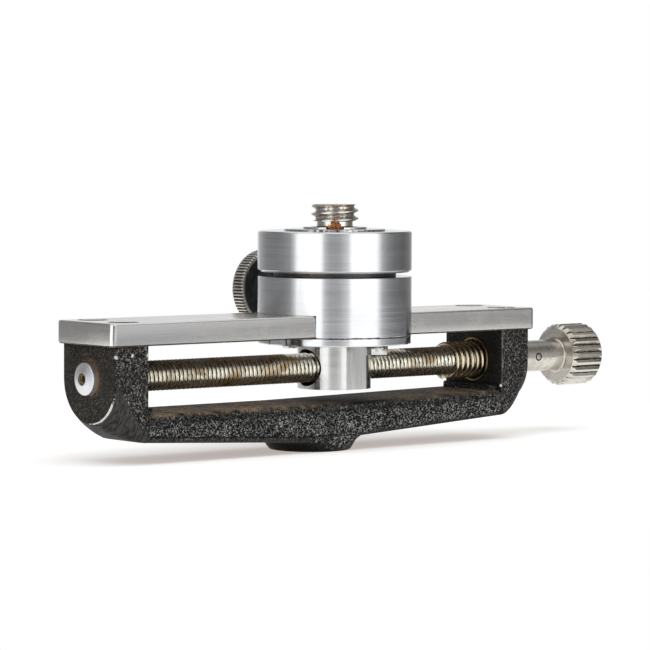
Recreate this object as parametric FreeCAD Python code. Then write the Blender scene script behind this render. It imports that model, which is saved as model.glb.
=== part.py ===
"""Macro focusing rail with a lead screw, a swivel head and a camera stud.

A cast yoke carries a flat steel rail on two lugs. A carriage is slotted over the rail and is
driven along it by a lead screw under the rail. A swivel plate turns on top of the carriage,
carries the camera stud and is locked by a knurled clamp knob at the back.

Frame: the origin is the centre of the tripod socket in the foot's face, +X runs along the rail
towards the drive knob, +Y towards the clamp knob, +Z up. All sizes are in millimetres.
"""
import FreeCAD, Part
import math
import os
from FreeCAD import Vector

# ---------------------------------------------------------------- driving dimensions
# rail
RAIL_LENGTH = 107.7
RAIL_WIDTH = 18.45
RAIL_THICKNESS = 4.45
RAIL_CORNER_RADIUS = 1.15
RAIL_BEVEL = 0.3
RAIL_SETOVER = -1.15          # middle of the rail, along X from the tripod socket

# cast yoke
YOKE_WIDTH = 17.2
LUG_THICKNESS = 7.7
LUG_INSET = 1.25              # lug's outer face, inside the end of the rail
ARM_BELLY = -5.9              # lowest point of the arm, along X
ARM_LOWS = (4.18, 2.08, 5.0)  # its underside at the left lug, the belly and the right lug
ARM_TOPS = (9.5, 9.5, 10.2)   # its top at the same places
ARM_TOP_EDGE = 1.2
ARM_LOW_EDGE = 1.0
ROOT_STEP_LENGTH = 2.0        # ledge at the foot of each lug
ROOT_STEP_HEIGHT = 1.2
ROOT_STEP_SINK = 2.0          # part of the ledge inside the arm
LUG_LOW_SWELLS = (1.2, 1.8)   # how fast each lug's underside reaches the arm's, as a power
LUG_CORNER_SWELLS = (0.7, 1.2)    # how fast its lower corners sharpen, as a power
LUG_LEAST_FLAT = 0.05         # left between the two lower corners at the lug's face
FOOT_RADIUS = 8.1
FOOT_FLARE = 0.9              # fillet between the foot and the arm
FOOT_EDGE = 0.6               # rounding of the foot's rim

# tripod socket: a 3/8"-16 bush
SOCKET_RADIUS = 3.97
SOCKET_BUSH_RADIUS = 6.2
SOCKET_DEPTH = 7.2

# lead screw, M6 x 1
SCREW_RADIUS = 2.95
SCREW_DROP = 6.39             # screw axis below the rail
JOURNAL_RADIUS = 2.5
PIVOT_RADIUS = 1.15
END_BUSH_RADIUS = 3.13
END_BUSH_SEAT = 3.5           # length of the bush inside the lug
END_BUSH_RIM = 1.25           # cylindrical part that stands out of the lug
END_BUSH_CONE = 0.5
END_BUSH_LAND = 0.1           # flat ring left round the bore
BUSH_RADIUS = 4.0
CUP_WALL = 0.4
CUP_DEPTH = 1.2
CUP_PROUD = 0.2
THRUST_WASHER = 0.5
SCREW_PASSAGE = 0.3           # room round the thread where it passes the left lug

# buffer spring round the lead screw
SPRING_WIRE = 0.75
SPRING_PITCH = 1.38
SPRING_TURNS = 6.5
SPRING_FIT = 0.12             # inside of the coils over the screw
SPRING_ROOM = 0.38            # inside of the cup over the coils

# drive knob
HUB_RADIUS = 3.3
HUB_LENGTH = 15.0
HUB_FILLET = 1.0
KNOB_RADIUS = 6.5
KNOB_LENGTH = 8.5
KNOB_FACE_RADIUS = 5.2
KNOB_CHAMFER = 1.1
KNOB_FLUTES = 24
FLUTE_DEPTH = 0.65
TAPER_PIN_RADIUS = 0.85
TAPER_PIN_PLACE = 7.4         # from the hub's inner end
KNOB_BORE_FIT = 0.02          # knob's bore over the journal it is pinned to

# carriage
CARRIAGE_PLACE = 7.4          # rest place of the carriage, from the middle of the rail
BODY_RADIUS = 15.5
BODY_RISE = 7.36              # above the rail
FLOOR_THICKNESS = 2.4         # between the rail slot and the swivel bore
KEEPER_THICKNESS = 1.6
KEEPER_INSET = 0.1
KEEPER_NICK_WIDTH = 0.35
KEEPER_NICK_DEPTH = 0.5
KEEPER_NICK_ANGLES = (173.9, 192.7)
KEEPER_SCREW_PLACE = 13.2
KEEPER_SCREW_RADIUS = 1.25
KEEPER_SCREW_LENGTH = 6.0
KEEPER_HEAD_RADIUS = 2.25
KEEPER_HEAD_HEIGHT = 1.75

# lead nut under the keeper
NUT_RADIUS = 7.4
NUT_FLAT = 6.95               # milled front flat, from the axis
NUT_CHIN = 4.31               # below the screw axis
NUT_SPIGOT_RADIUS = 5.5
NUT_MOUTH_RADIUS = 3.73
NUT_MOUTH_DEPTH = 5.0
NUT_GROUND_GAP = 2.45         # above the arm of the yoke

# swivel head
WASHER_RADIUS = 12.35
WASHER_THICKNESS = 0.85
SPIGOT_RADIUS = 9.0
DISC_THICKNESS = 8.16
DISC_EDGE = 0.45
LAND_RADIUS = 10.15
LAND_HEIGHT = 0.4
PIVOT_SCREW_RADIUS = 1.5
PIVOT_SCREW_LENGTH = 6.0

# camera stud, 3/8"-16
STUD_RADIUS = 4.7625
STUD_RISE = 5.3               # above the disc
STUD_THREAD = 3.35
STUD_CHAMFER = 0.45
STUD_NECK_RADIUS = 3.6
STUD_SHANK_RADIUS = 4.0
STUD_SHANK_LENGTH = 6.0
COLLAR_RADIUS = 6.4
COLLAR_HEIGHT = 0.4
SPANNER_WIDTH = 3.6
SPANNER_DEPTH = 1.6
SPANNER_ANGLE = 231.0

# clamp at the back of the carriage, M4 x 0.7
CLAMP_RISE = 4.12             # clamp axis above the rail
CLAMP_SCREW_RADIUS = 2.0
PAD_LENGTH = 2.0
CLAMP_STANDOFF = 1.9          # hub's inner face from the body
CLAMP_HUB_RADIUS = 4.5
CLAMP_HUB_LENGTH = 2.8
CLAMP_RIM_RADIUS = 7.95
CLAMP_RIM_THICKNESS = 3.4
CLAMP_TEETH = 74
CLAMP_TOOTH_DEPTH = 0.28
CLAMP_FACE_RADIUS = 7.1
CLAMP_FACE_DEPTH = 0.3
CLAMP_SEAT_DEPTH = 2.4        # how far the screw goes into the rim

# grooves of the two knobs
CREST_SHARE = 0.3             # part of each pitch left as crest

# countersunk screws that hold the rail
RAIL_SCREW_RADIUS = 1.75
RAIL_SCREW_HEAD = 3.1
RAIL_SCREW_LENGTH = 7.0
RAIL_SCREW_INSET = 5.65       # from the end of the rail
RAIL_SCREW_SPREAD = 5.0       # from the middle line

# clearances
SLIDE_CLEARANCE = 0.04        # carriage on the rail
TURN_CLEARANCE = 0.06         # shafts in their bores
FACE_CLEARANCE = 0.03         # faces that turn on each other
CUTTER_OVERRUN = 1.0          # cutting bodies run past the faces they open

# ---------------------------------------------------------------- places
HALF_YOKE = YOKE_WIDTH / 2
NUT_BOTTOM = ARM_TOPS[1] + NUT_GROUND_GAP
SCREW_Z = NUT_BOTTOM + NUT_CHIN
RAIL_BOTTOM = SCREW_Z + SCREW_DROP
RAIL_TOP = RAIL_BOTTOM + RAIL_THICKNESS
SLOT_TOP = RAIL_TOP + SLIDE_CLEARANCE
BODY_TOP = RAIL_TOP + BODY_RISE
KEEPER_TOP = RAIL_BOTTOM - SLIDE_CLEARANCE
KEEPER_BOTTOM = KEEPER_TOP - KEEPER_THICKNESS
DISC_BOTTOM = BODY_TOP + WASHER_THICKNESS + FACE_CLEARANCE
DISC_TOP = DISC_BOTTOM + DISC_THICKNESS
LAND_TOP = DISC_TOP + LAND_HEIGHT
COLLAR_TOP = LAND_TOP + COLLAR_HEIGHT
STUD_TOP = DISC_TOP + STUD_RISE
CLAMP_Z = RAIL_TOP + CLAMP_RISE

LUG_OUTER = RAIL_LENGTH / 2 - LUG_INSET
LUG_INNER = LUG_OUTER - LUG_THICKNESS
LEFT_LUG_OUTER = RAIL_SETOVER - LUG_OUTER
RIGHT_LUG_OUTER = RAIL_SETOVER + LUG_OUTER
RIGHT_LUG_INNER = RAIL_SETOVER + LUG_INNER
CUP_RADIUS = SCREW_RADIUS + SPRING_FIT + SPRING_WIRE + SPRING_ROOM + CUP_WALL
CUP_FLOOR = RIGHT_LUG_INNER - CUP_PROUD + CUP_DEPTH
HUB_START = RIGHT_LUG_OUTER + THRUST_WASHER + 2 * FACE_CLEARANCE
CARRIAGE_X = RAIL_SETOVER + CARRIAGE_PLACE
RAIL_SCREW_X = RAIL_LENGTH / 2 - RAIL_SCREW_INSET
LUG_STATIONS = (0.0, 0.08, 0.22, 0.5, 1.0)    # sections of a lug, as shares of its thickness inwards
ARM_SLOPE = (ARM_LOWS[2] - ARM_LOWS[1]) / (RIGHT_LUG_INNER - ARM_BELLY)    # right half's underside


# ---------------------------------------------------------------- shape helpers
def corner_path(before, corner, after, rounding):
    """Where an outline reaches a corner and leaves it, with the arc between if it is rounded."""
    if not rounding:
        return corner, corner, []
    back = (before - corner).normalize()
    onward = (after - corner).normalize()
    half_angle = back.getAngle(onward) / 2
    setback = rounding / math.tan(half_angle)
    crown = rounding / math.sin(half_angle) - rounding
    reach = corner + back * setback
    leave = corner + onward * setback
    middle = corner + (back + onward).normalize() * crown
    return reach, leave, [Part.Arc(reach, middle, leave).toShape()]


def turned(profile):
    """Solid of revolution about Z through (radius, height) corners; a third value rounds a corner."""
    points = [Vector(corner[0], 0, corner[1]) for corner in profile]
    roundings = [corner[2] if len(corner) > 2 else 0 for corner in profile]
    count = len(points)
    paths = [corner_path(points[i - 1], points[i], points[(i + 1) % count], roundings[i])
             for i in range(count)]
    edges = []
    for index, (reach, leave, arc) in enumerate(paths):
        edges += arc
        edges.append(Part.makeLine(leave, paths[(index + 1) % count][0]))
    return Part.Face(Part.Wire(edges)).revolve(Vector(0, 0, 0), Vector(0, 0, 1), 360)


def along_x(shape, x, z=SCREW_Z):
    """Turn a shape made along Z to lie along +X, starting at x on the height z."""
    shape.rotate(Vector(0, 0, 0), Vector(0, 1, 0), 90)
    shape.translate(Vector(x, 0, z))
    return shape


def along_y(shape, y):
    """Turn a shape made along Z to lie along +Y on the clamp axis, starting y from the carriage axis."""
    shape.rotate(Vector(0, 0, 0), Vector(1, 0, 0), -90)
    shape.translate(Vector(CARRIAGE_X, y, CLAMP_Z))
    return shape


def on_carriage(shape, z):
    """Set a shape made about Z on the carriage axis at the height z."""
    shape.translate(Vector(CARRIAGE_X, 0, z))
    return shape


def rod(radius, length):
    """Plain cylinder along Z from the origin."""
    return Part.makeCylinder(radius, length)


def rod_along_x(radius, start, end):
    """Plain cylinder on the screw axis between two places along X."""
    return along_x(rod(radius, end - start), start)


def fluted_prism(radius, depth, count, length):
    """Prism along Z whose outline is a circle cut by V grooves, with crests left as arcs."""
    step = 2 * math.pi / count
    crest = step * CREST_SHARE
    edges = []
    for index in range(count):
        middle = index * step
        angles = (middle - crest / 2, middle, middle + crest / 2)
        start, top, end = (Vector(radius * math.cos(a), radius * math.sin(a), 0) for a in angles)
        valley_angle = middle + step / 2
        valley_radius = radius - depth
        valley = Vector(valley_radius * math.cos(valley_angle), valley_radius * math.sin(valley_angle), 0)
        next_angle = middle + step - crest / 2
        following = Vector(radius * math.cos(next_angle), radius * math.sin(next_angle), 0)
        edges.append(Part.Arc(start, top, end).toShape())
        edges.append(Part.makeLine(end, valley))
        edges.append(Part.makeLine(valley, following))
    outline = Part.Wire(Part.__sortEdges__(edges))
    return Part.Face(outline).extrude(Vector(0, 0, length))


def countersunk_screw(shank_radius, head_radius, length):
    """Countersunk screw along +Z with its head's flat face at the origin and its point at length."""
    cone = head_radius - shank_radius
    return turned([(0, 0), (head_radius, 0), (shank_radius, cone), (shank_radius, length), (0, length)])


def u_section(x, low, high, corner):
    """Closed wire across the yoke at x: straight sides, rounded lower corners, square top."""
    corner = min(corner, HALF_YOKE - LUG_LEAST_FLAT)
    side, inner, lift = HALF_YOKE, HALF_YOKE - corner, low + corner
    slant = corner * math.sqrt(0.5)
    lower_left = Part.Arc(
        Vector(x, -side, lift), Vector(x, -inner - slant, lift - slant), Vector(x, -inner, low))
    lower_right = Part.Arc(
        Vector(x, inner, low), Vector(x, inner + slant, lift - slant), Vector(x, side, lift))
    return Part.Wire([
        Part.makeLine(Vector(x, -side, high), Vector(x, -side, lift)),
        lower_left.toShape(),
        Part.makeLine(Vector(x, -inner, low), Vector(x, inner, low)),
        lower_right.toShape(),
        Part.makeLine(Vector(x, side, lift), Vector(x, side, high)),
        Part.makeLine(Vector(x, side, high), Vector(x, -side, high)),
    ])


# ---------------------------------------------------------------- yoke and rail
def yoke_lug(side):
    """One lug: a round-bottomed end face that swells inwards into the full section of the arm."""
    end_low = SCREW_Z - HALF_YOKE
    arm_low, low_swell, corner_swell = (
        (ARM_LOWS[0], LUG_LOW_SWELLS[0], LUG_CORNER_SWELLS[0]) if side < 0
        else (ARM_LOWS[2], LUG_LOW_SWELLS[1], LUG_CORNER_SWELLS[1]))
    sections = []
    for inward in LUG_STATIONS:
        x = RAIL_SETOVER + side * (LUG_OUTER - inward * LUG_THICKNESS)
        low = arm_low + (end_low - arm_low) * (1 - inward) ** low_swell
        corner = ARM_LOW_EDGE + (HALF_YOKE - ARM_LOW_EDGE) * (1 - inward) ** corner_swell
        sections.append(u_section(x, low, RAIL_BOTTOM, corner))
    return Part.makeLoft(sections, True, False)


def yoke_arm():
    """Bowed arm between the lugs, deepest at its belly near the foot, with rounded top edges."""
    places = (RAIL_SETOVER - LUG_INNER, ARM_BELLY, RAIL_SETOVER + LUG_INNER)
    sections = [u_section(x, low, high, ARM_LOW_EDGE) for x, low, high in zip(places, ARM_LOWS, ARM_TOPS)]
    arm = Part.makeLoft(sections, True, True)
    top_edges = [e for e in arm.Edges if e.BoundBox.ZMin > min(ARM_TOPS) - 1e-6 and e.BoundBox.YLength < 1e-6]
    return arm.makeFillet(ARM_TOP_EDGE, top_edges)


def foot_boss():
    """Round foot under the arm, filleted into its underside and cut flush with the yoke's sides."""
    flare_reach = FOOT_RADIUS + FOOT_FLARE
    seam = ARM_LOWS[1] + ARM_SLOPE * (flare_reach - ARM_BELLY)
    top = (ARM_LOWS[1] + ARM_TOPS[1]) / 2
    boss = turned([
        (0, 0),
        (FOOT_RADIUS, 0, FOOT_EDGE),
        (FOOT_RADIUS, seam, FOOT_FLARE),
        (flare_reach + FOOT_EDGE, seam),
        (flare_reach + FOOT_EDGE, top),
        (0, top),
    ])
    slab = Part.makeBox(4 * FOOT_RADIUS, YOKE_WIDTH, top, Vector(-2 * FOOT_RADIUS, -HALF_YOKE, 0))
    return boss.common(slab)


def root_step(side):
    """Low ledge across the arm at the foot of a lug."""
    x = RAIL_SETOVER + side * LUG_INNER
    start, arm_top = (x, ARM_TOPS[0]) if side < 0 else (x - ROOT_STEP_LENGTH, ARM_TOPS[2])
    return Part.makeBox(ROOT_STEP_LENGTH, YOKE_WIDTH - 2 * ARM_TOP_EDGE, ROOT_STEP_HEIGHT + ROOT_STEP_SINK,
                        Vector(start, -HALF_YOKE + ARM_TOP_EDGE, arm_top - ROOT_STEP_SINK))


def rail_screw_places():
    """Centres of the four rail screws."""
    return [Vector(RAIL_SETOVER + side * RAIL_SCREW_X, row * RAIL_SCREW_SPREAD, RAIL_TOP)
            for side in (-1, 1) for row in (-1, 1)]


def yoke_casting():
    """The cast yoke with its lug bores, tapped holes and tripod bore."""
    yoke = yoke_arm().multiFuse([yoke_lug(-1), yoke_lug(1), root_step(-1), root_step(1), foot_boss()])
    cuts = [
        rod_along_x(END_BUSH_RADIUS, LEFT_LUG_OUTER - CUTTER_OVERRUN, LEFT_LUG_OUTER + END_BUSH_SEAT),
        rod_along_x(SCREW_RADIUS + SCREW_PASSAGE, LEFT_LUG_OUTER + END_BUSH_SEAT,
                    LEFT_LUG_OUTER + LUG_THICKNESS + CUTTER_OVERRUN),
        rod_along_x(BUSH_RADIUS, RIGHT_LUG_INNER - CUTTER_OVERRUN, RIGHT_LUG_OUTER + CUTTER_OVERRUN),
        rod_along_x(CUP_RADIUS, RIGHT_LUG_INNER - CUTTER_OVERRUN, CUP_FLOOR + CUP_WALL),
        rod(SOCKET_BUSH_RADIUS, SOCKET_DEPTH),
    ]
    depth = RAIL_SCREW_LENGTH - RAIL_THICKNESS
    for place in rail_screw_places():
        hole = rod(RAIL_SCREW_RADIUS, depth)
        hole.translate(Vector(place.x, place.y, RAIL_BOTTOM - depth))
        cuts.append(hole)
    return yoke.cut(Part.makeCompound(cuts)).removeSplitter()


def tripod_bush():
    """Steel bush with the tripod thread, flush with the foot's face."""
    return rod(SOCKET_BUSH_RADIUS, SOCKET_DEPTH).cut(rod(SOCKET_RADIUS, SOCKET_DEPTH))


def rail_bar():
    """Flat bar with rounded end corners, bevelled rims and four countersunk holes."""
    corner = Vector(RAIL_SETOVER - RAIL_LENGTH / 2, -RAIL_WIDTH / 2, RAIL_BOTTOM)
    bar = Part.makeBox(RAIL_LENGTH, RAIL_WIDTH, RAIL_THICKNESS, corner)
    upright = [e for e in bar.Edges if e.BoundBox.ZLength > RAIL_THICKNESS / 2]
    bar = bar.makeFillet(RAIL_CORNER_RADIUS, upright)
    rims = [e for e in bar.Edges if e.BoundBox.ZLength < 1e-6]
    bar = bar.makeChamfer(RAIL_BEVEL, rims)
    for place in rail_screw_places():
        hole = countersunk_screw(RAIL_SCREW_RADIUS, RAIL_SCREW_HEAD, RAIL_SCREW_LENGTH)
        hole.rotate(Vector(0, 0, 0), Vector(1, 0, 0), 180)
        hole.translate(place)
        bar = bar.cut(hole)
    return bar


def rail_screws():
    """The four countersunk screws that hold the rail on the lugs."""
    screws = []
    for place in rail_screw_places():
        screw = countersunk_screw(RAIL_SCREW_RADIUS, RAIL_SCREW_HEAD, RAIL_SCREW_LENGTH)
        screw.rotate(Vector(0, 0, 0), Vector(1, 0, 0), 180)
        screw.translate(place)
        screws.append(screw)
    return Part.makeCompound(screws)


# ---------------------------------------------------------------- lead screw and its bearings
def end_bush():
    """Pressed bush in the left lug with a coned face, bored right through for the screw's pivot."""
    bore = PIVOT_RADIUS + TURN_CLEARANCE
    rim = END_BUSH_SEAT + END_BUSH_RIM
    bush = turned([
        (bore, 0),
        (END_BUSH_RADIUS, 0),
        (END_BUSH_RADIUS, rim),
        (bore + END_BUSH_LAND, rim + END_BUSH_CONE),
        (bore, rim + END_BUSH_CONE),
    ])
    bush.rotate(Vector(0, 0, 0), Vector(0, 1, 0), -90)
    bush.translate(Vector(LEFT_LUG_OUTER + END_BUSH_SEAT, 0, SCREW_Z))
    return bush


def drive_bush():
    """Bronze bush in the right lug with a shallow cup that holds the end of the buffer spring."""
    cup_start = RIGHT_LUG_INNER - CUP_PROUD
    cup = rod_along_x(CUP_RADIUS, cup_start, CUP_FLOOR + CUP_WALL)
    sleeve = rod_along_x(BUSH_RADIUS, CUP_FLOOR + CUP_WALL, RIGHT_LUG_OUTER)
    hollow = rod_along_x(CUP_RADIUS - CUP_WALL, cup_start, CUP_FLOOR)
    bore = rod_along_x(JOURNAL_RADIUS + TURN_CLEARANCE, cup_start, RIGHT_LUG_OUTER)
    return cup.fuse(sleeve).cut(hollow.fuse(bore)).removeSplitter()


def thrust_washer():
    """Washer between the right lug and the knob's hub."""
    end = RIGHT_LUG_OUTER + THRUST_WASHER
    ring = rod_along_x(CUP_RADIUS, RIGHT_LUG_OUTER, end)
    return ring.cut(rod_along_x(JOURNAL_RADIUS + TURN_CLEARANCE, RIGHT_LUG_OUTER, end))


def buffer_spring():
    """Open coil spring over the lead screw, seated in the drive bush's cup."""
    coil_radius = SCREW_RADIUS + SPRING_FIT + SPRING_WIRE / 2
    length = SPRING_PITCH * SPRING_TURNS
    path = Part.Wire(Part.makeHelix(SPRING_PITCH, length, coil_radius).Edges)
    lean = Vector(0, 2 * math.pi * coil_radius, SPRING_PITCH)
    wire_end = Part.Wire(Part.makeCircle(SPRING_WIRE / 2, Vector(coil_radius, 0, 0), lean))
    coil = path.makePipeShell([wire_end], True, True)
    return along_x(coil, CUP_FLOOR - SPRING_WIRE / 2 - length)


def screw_shoulder():
    """Where the lead screw's thread stops against the cup's floor."""
    return CUP_FLOOR - FACE_CLEARANCE


def drive_screw():
    """Lead screw with a small pivot at the left and a journal that carries the knob at the right."""
    thread_start = LEFT_LUG_OUTER + END_BUSH_SEAT + FACE_CLEARANCE
    pivot_start = LEFT_LUG_OUTER - END_BUSH_RIM
    knob_seat = HUB_START + HUB_LENGTH + KNOB_LENGTH / 2
    return rod_along_x(PIVOT_RADIUS, pivot_start, thread_start).multiFuse([
        rod_along_x(SCREW_RADIUS, thread_start, screw_shoulder()),
        rod_along_x(JOURNAL_RADIUS, screw_shoulder(), knob_seat),
    ]).cut(taper_pin_blank()).removeSplitter()


def taper_pin_blank():
    """The knob's pin: across the hub along Y, as long as the hub is wide."""
    pin = rod(TAPER_PIN_RADIUS, 2 * HUB_RADIUS)
    pin.rotate(Vector(0, 0, 0), Vector(1, 0, 0), -90)
    pin.translate(Vector(HUB_START + TAPER_PIN_PLACE, -HUB_RADIUS, SCREW_Z))
    return pin


def knob_taper_pin():
    """The pin, trimmed to the hub's round surface."""
    return taper_pin_blank().common(rod_along_x(HUB_RADIUS, HUB_START, HUB_START + HUB_LENGTH))


def drive_knob():
    """Long hub and fluted head in one turned piece, chamfered at both ends, bored for the screw."""
    head_start = HUB_LENGTH
    head_end = head_start + KNOB_LENGTH
    bore_end = head_start + KNOB_LENGTH / 2
    blank = turned([
        (0, head_start),
        (KNOB_FACE_RADIUS, head_start),
        (KNOB_RADIUS, head_start + KNOB_CHAMFER),
        (KNOB_RADIUS, head_end - KNOB_CHAMFER),
        (KNOB_FACE_RADIUS, head_end),
        (0, head_end),
    ])
    prism = fluted_prism(KNOB_RADIUS, FLUTE_DEPTH, KNOB_FLUTES, KNOB_LENGTH)
    prism.translate(Vector(0, 0, head_start))
    hub = turned([
        (0, 0),
        (HUB_RADIUS, 0),
        (HUB_RADIUS, head_start, HUB_FILLET),
        (KNOB_FACE_RADIUS, head_start),
        (KNOB_FACE_RADIUS, head_start + KNOB_CHAMFER),
        (0, head_start + KNOB_CHAMFER),
    ])
    knob = blank.common(prism).fuse(hub).cut(rod(JOURNAL_RADIUS + KNOB_BORE_FIT, bore_end))
    return along_x(knob, HUB_START).cut(taper_pin_blank())


# ---------------------------------------------------------------- carriage
def keeper_screw_places():
    """Offsets of the keeper screws from the carriage axis."""
    return [Vector(0, row * KEEPER_SCREW_PLACE, 0) for row in (-1, 1)]


def carriage_body():
    """Turned block slotted over the rail, bored for the swivel's spigot and cross-drilled for the clamp."""
    height = BODY_TOP - RAIL_BOTTOM
    body = on_carriage(rod(BODY_RADIUS, height), RAIL_BOTTOM)
    slot_half = RAIL_WIDTH / 2 + SLIDE_CLEARANCE
    slot = Part.makeBox(4 * BODY_RADIUS, 2 * slot_half, SLOT_TOP - RAIL_BOTTOM,
                        Vector(CARRIAGE_X - 2 * BODY_RADIUS, -slot_half, RAIL_BOTTOM))
    bore_floor = SLOT_TOP + FLOOR_THICKNESS
    bore = on_carriage(rod(SPIGOT_RADIUS + TURN_CLEARANCE, BODY_TOP - bore_floor), bore_floor)
    sink = countersunk_screw(PIVOT_SCREW_RADIUS + TURN_CLEARANCE, 2 * PIVOT_SCREW_RADIUS + TURN_CLEARANCE,
                             FLOOR_THICKNESS)
    clamp_hole = along_y(rod(CLAMP_SCREW_RADIUS + TURN_CLEARANCE, BODY_RADIUS), SPIGOT_RADIUS / 2)
    cuts = [slot, bore, on_carriage(sink, SLOT_TOP), clamp_hole]
    for place in keeper_screw_places():
        hole = rod(KEEPER_SCREW_RADIUS, KEEPER_SCREW_LENGTH)
        hole.translate(place)
        cuts.append(on_carriage(hole, KEEPER_TOP))
    return body.cut(Part.makeCompound(cuts))


def keeper_plate():
    """Round plate that closes the slot under the rail, with two nicks in its rim."""
    radius = BODY_RADIUS - KEEPER_INSET
    plate = rod(radius, KEEPER_THICKNESS).cut(rod(NUT_SPIGOT_RADIUS, KEEPER_THICKNESS))
    for place in keeper_screw_places():
        hole = rod(KEEPER_SCREW_RADIUS, KEEPER_THICKNESS)
        hole.translate(place)
        plate = plate.cut(hole)
    for angle in KEEPER_NICK_ANGLES:
        nick = Part.makeBox(2 * KEEPER_NICK_DEPTH, KEEPER_NICK_WIDTH, KEEPER_THICKNESS,
                            Vector(radius - KEEPER_NICK_DEPTH, -KEEPER_NICK_WIDTH / 2, 0))
        nick.rotate(Vector(0, 0, 0), Vector(0, 0, 1), angle)
        plate = plate.cut(nick)
    return on_carriage(plate, KEEPER_BOTTOM)


def keeper_screws():
    """The two cheese-head screws that hold the keeper to the body."""
    reach = KEEPER_HEAD_HEIGHT + KEEPER_THICKNESS + KEEPER_SCREW_LENGTH
    screws = []
    for place in keeper_screw_places():
        screw = turned([
            (0, 0),
            (KEEPER_HEAD_RADIUS, 0),
            (KEEPER_HEAD_RADIUS, KEEPER_HEAD_HEIGHT),
            (KEEPER_SCREW_RADIUS, KEEPER_HEAD_HEIGHT),
            (KEEPER_SCREW_RADIUS, reach),
            (0, reach),
        ])
        screw.translate(place)
        screws.append(on_carriage(screw, KEEPER_BOTTOM - KEEPER_HEAD_HEIGHT))
    return Part.makeCompound(screws)


def lead_nut():
    """Round nut with a milled front flat, riveted into the keeper and counterbored at its left."""
    column = on_carriage(rod(NUT_RADIUS, KEEPER_BOTTOM - NUT_BOTTOM), NUT_BOTTOM)
    spigot = on_carriage(rod(NUT_SPIGOT_RADIUS, KEEPER_TOP - KEEPER_BOTTOM), KEEPER_BOTTOM)
    flat = Part.makeBox(2 * NUT_RADIUS, NUT_RADIUS, KEEPER_BOTTOM - NUT_BOTTOM,
                        Vector(CARRIAGE_X - NUT_RADIUS, -NUT_FLAT - NUT_RADIUS, NUT_BOTTOM))
    left = CARRIAGE_X - NUT_RADIUS
    right = CARRIAGE_X + NUT_RADIUS
    thread = rod_along_x(SCREW_RADIUS + TURN_CLEARANCE, left - CUTTER_OVERRUN, right + CUTTER_OVERRUN)
    mouth = rod_along_x(NUT_MOUTH_RADIUS, left - CUTTER_OVERRUN, left + NUT_MOUTH_DEPTH)
    return column.fuse(spigot).cut(Part.makeCompound([flat, thread, mouth])).removeSplitter()


# ---------------------------------------------------------------- swivel head
def swivel_washer():
    """Thin friction washer between the carriage and the swivel plate."""
    ring = rod(WASHER_RADIUS, WASHER_THICKNESS).cut(rod(SPIGOT_RADIUS + TURN_CLEARANCE, WASHER_THICKNESS))
    return on_carriage(ring, BODY_TOP)


def spigot_bottom():
    """Height of the spigot's end above the floor of its bore."""
    return SLOT_TOP + FLOOR_THICKNESS + FACE_CLEARANCE


def swivel_plate():
    """Round plate with a raised land on top and a spigot below, bored for the stud and the pivot screw."""
    low = spigot_bottom()
    plate = turned([
        (0, low),
        (SPIGOT_RADIUS, low),
        (SPIGOT_RADIUS, DISC_BOTTOM),
        (BODY_RADIUS - DISC_EDGE, DISC_BOTTOM),
        (BODY_RADIUS, DISC_BOTTOM + DISC_EDGE),
        (BODY_RADIUS, DISC_TOP - DISC_EDGE / 2),
        (BODY_RADIUS - DISC_EDGE / 2, DISC_TOP),
        (LAND_RADIUS, DISC_TOP),
        (LAND_RADIUS, LAND_TOP),
        (0, LAND_TOP),
    ])
    shank = rod(STUD_SHANK_RADIUS, STUD_SHANK_LENGTH)
    shank.translate(Vector(0, 0, LAND_TOP - STUD_SHANK_LENGTH))
    screw = rod(PIVOT_SCREW_RADIUS, PIVOT_SCREW_LENGTH)
    screw.translate(Vector(0, 0, pivot_screw_start()))
    return on_carriage(plate.cut(shank.fuse(screw)), 0)


def pivot_screw_start():
    """Height of the pivot screw's head face, just inside the roof of the rail slot."""
    return SLOT_TOP + FACE_CLEARANCE


def swivel_pivot_screw():
    """Countersunk screw under the carriage's floor that keeps the swivel plate down."""
    screw = countersunk_screw(PIVOT_SCREW_RADIUS, 2 * PIVOT_SCREW_RADIUS - TURN_CLEARANCE, PIVOT_SCREW_LENGTH)
    return on_carriage(screw, pivot_screw_start())


def camera_stud():
    """Camera screw with an undercut neck, a slotted collar and a shank let into the plate."""
    thread_start = STUD_TOP - STUD_THREAD
    shank_end = LAND_TOP - STUD_SHANK_LENGTH
    stud = turned([
        (0, shank_end),
        (STUD_SHANK_RADIUS, shank_end),
        (STUD_SHANK_RADIUS, LAND_TOP),
        (COLLAR_RADIUS, LAND_TOP),
        (COLLAR_RADIUS, COLLAR_TOP),
        (STUD_NECK_RADIUS, COLLAR_TOP),
        (STUD_NECK_RADIUS, thread_start),
        (STUD_RADIUS, thread_start),
        (STUD_RADIUS, STUD_TOP - STUD_CHAMFER),
        (STUD_RADIUS - STUD_CHAMFER, STUD_TOP),
        (0, STUD_TOP),
    ])
    for angle in (SPANNER_ANGLE, SPANNER_ANGLE + 180):
        slot = Part.makeBox(2 * SPANNER_DEPTH, SPANNER_WIDTH, COLLAR_HEIGHT,
                            Vector(COLLAR_RADIUS - SPANNER_DEPTH, -SPANNER_WIDTH / 2, LAND_TOP))
        slot.rotate(Vector(0, 0, 0), Vector(0, 0, 1), angle)
        stud = stud.cut(slot)
    return on_carriage(stud, 0)


# ---------------------------------------------------------------- clamp
PAD_START = SPIGOT_RADIUS + TURN_CLEARANCE
CLAMP_SCREW_START = PAD_START + PAD_LENGTH
CLAMP_HUB_START = BODY_RADIUS + CLAMP_STANDOFF
CLAMP_RIM_START = CLAMP_HUB_START + CLAMP_HUB_LENGTH


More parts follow.
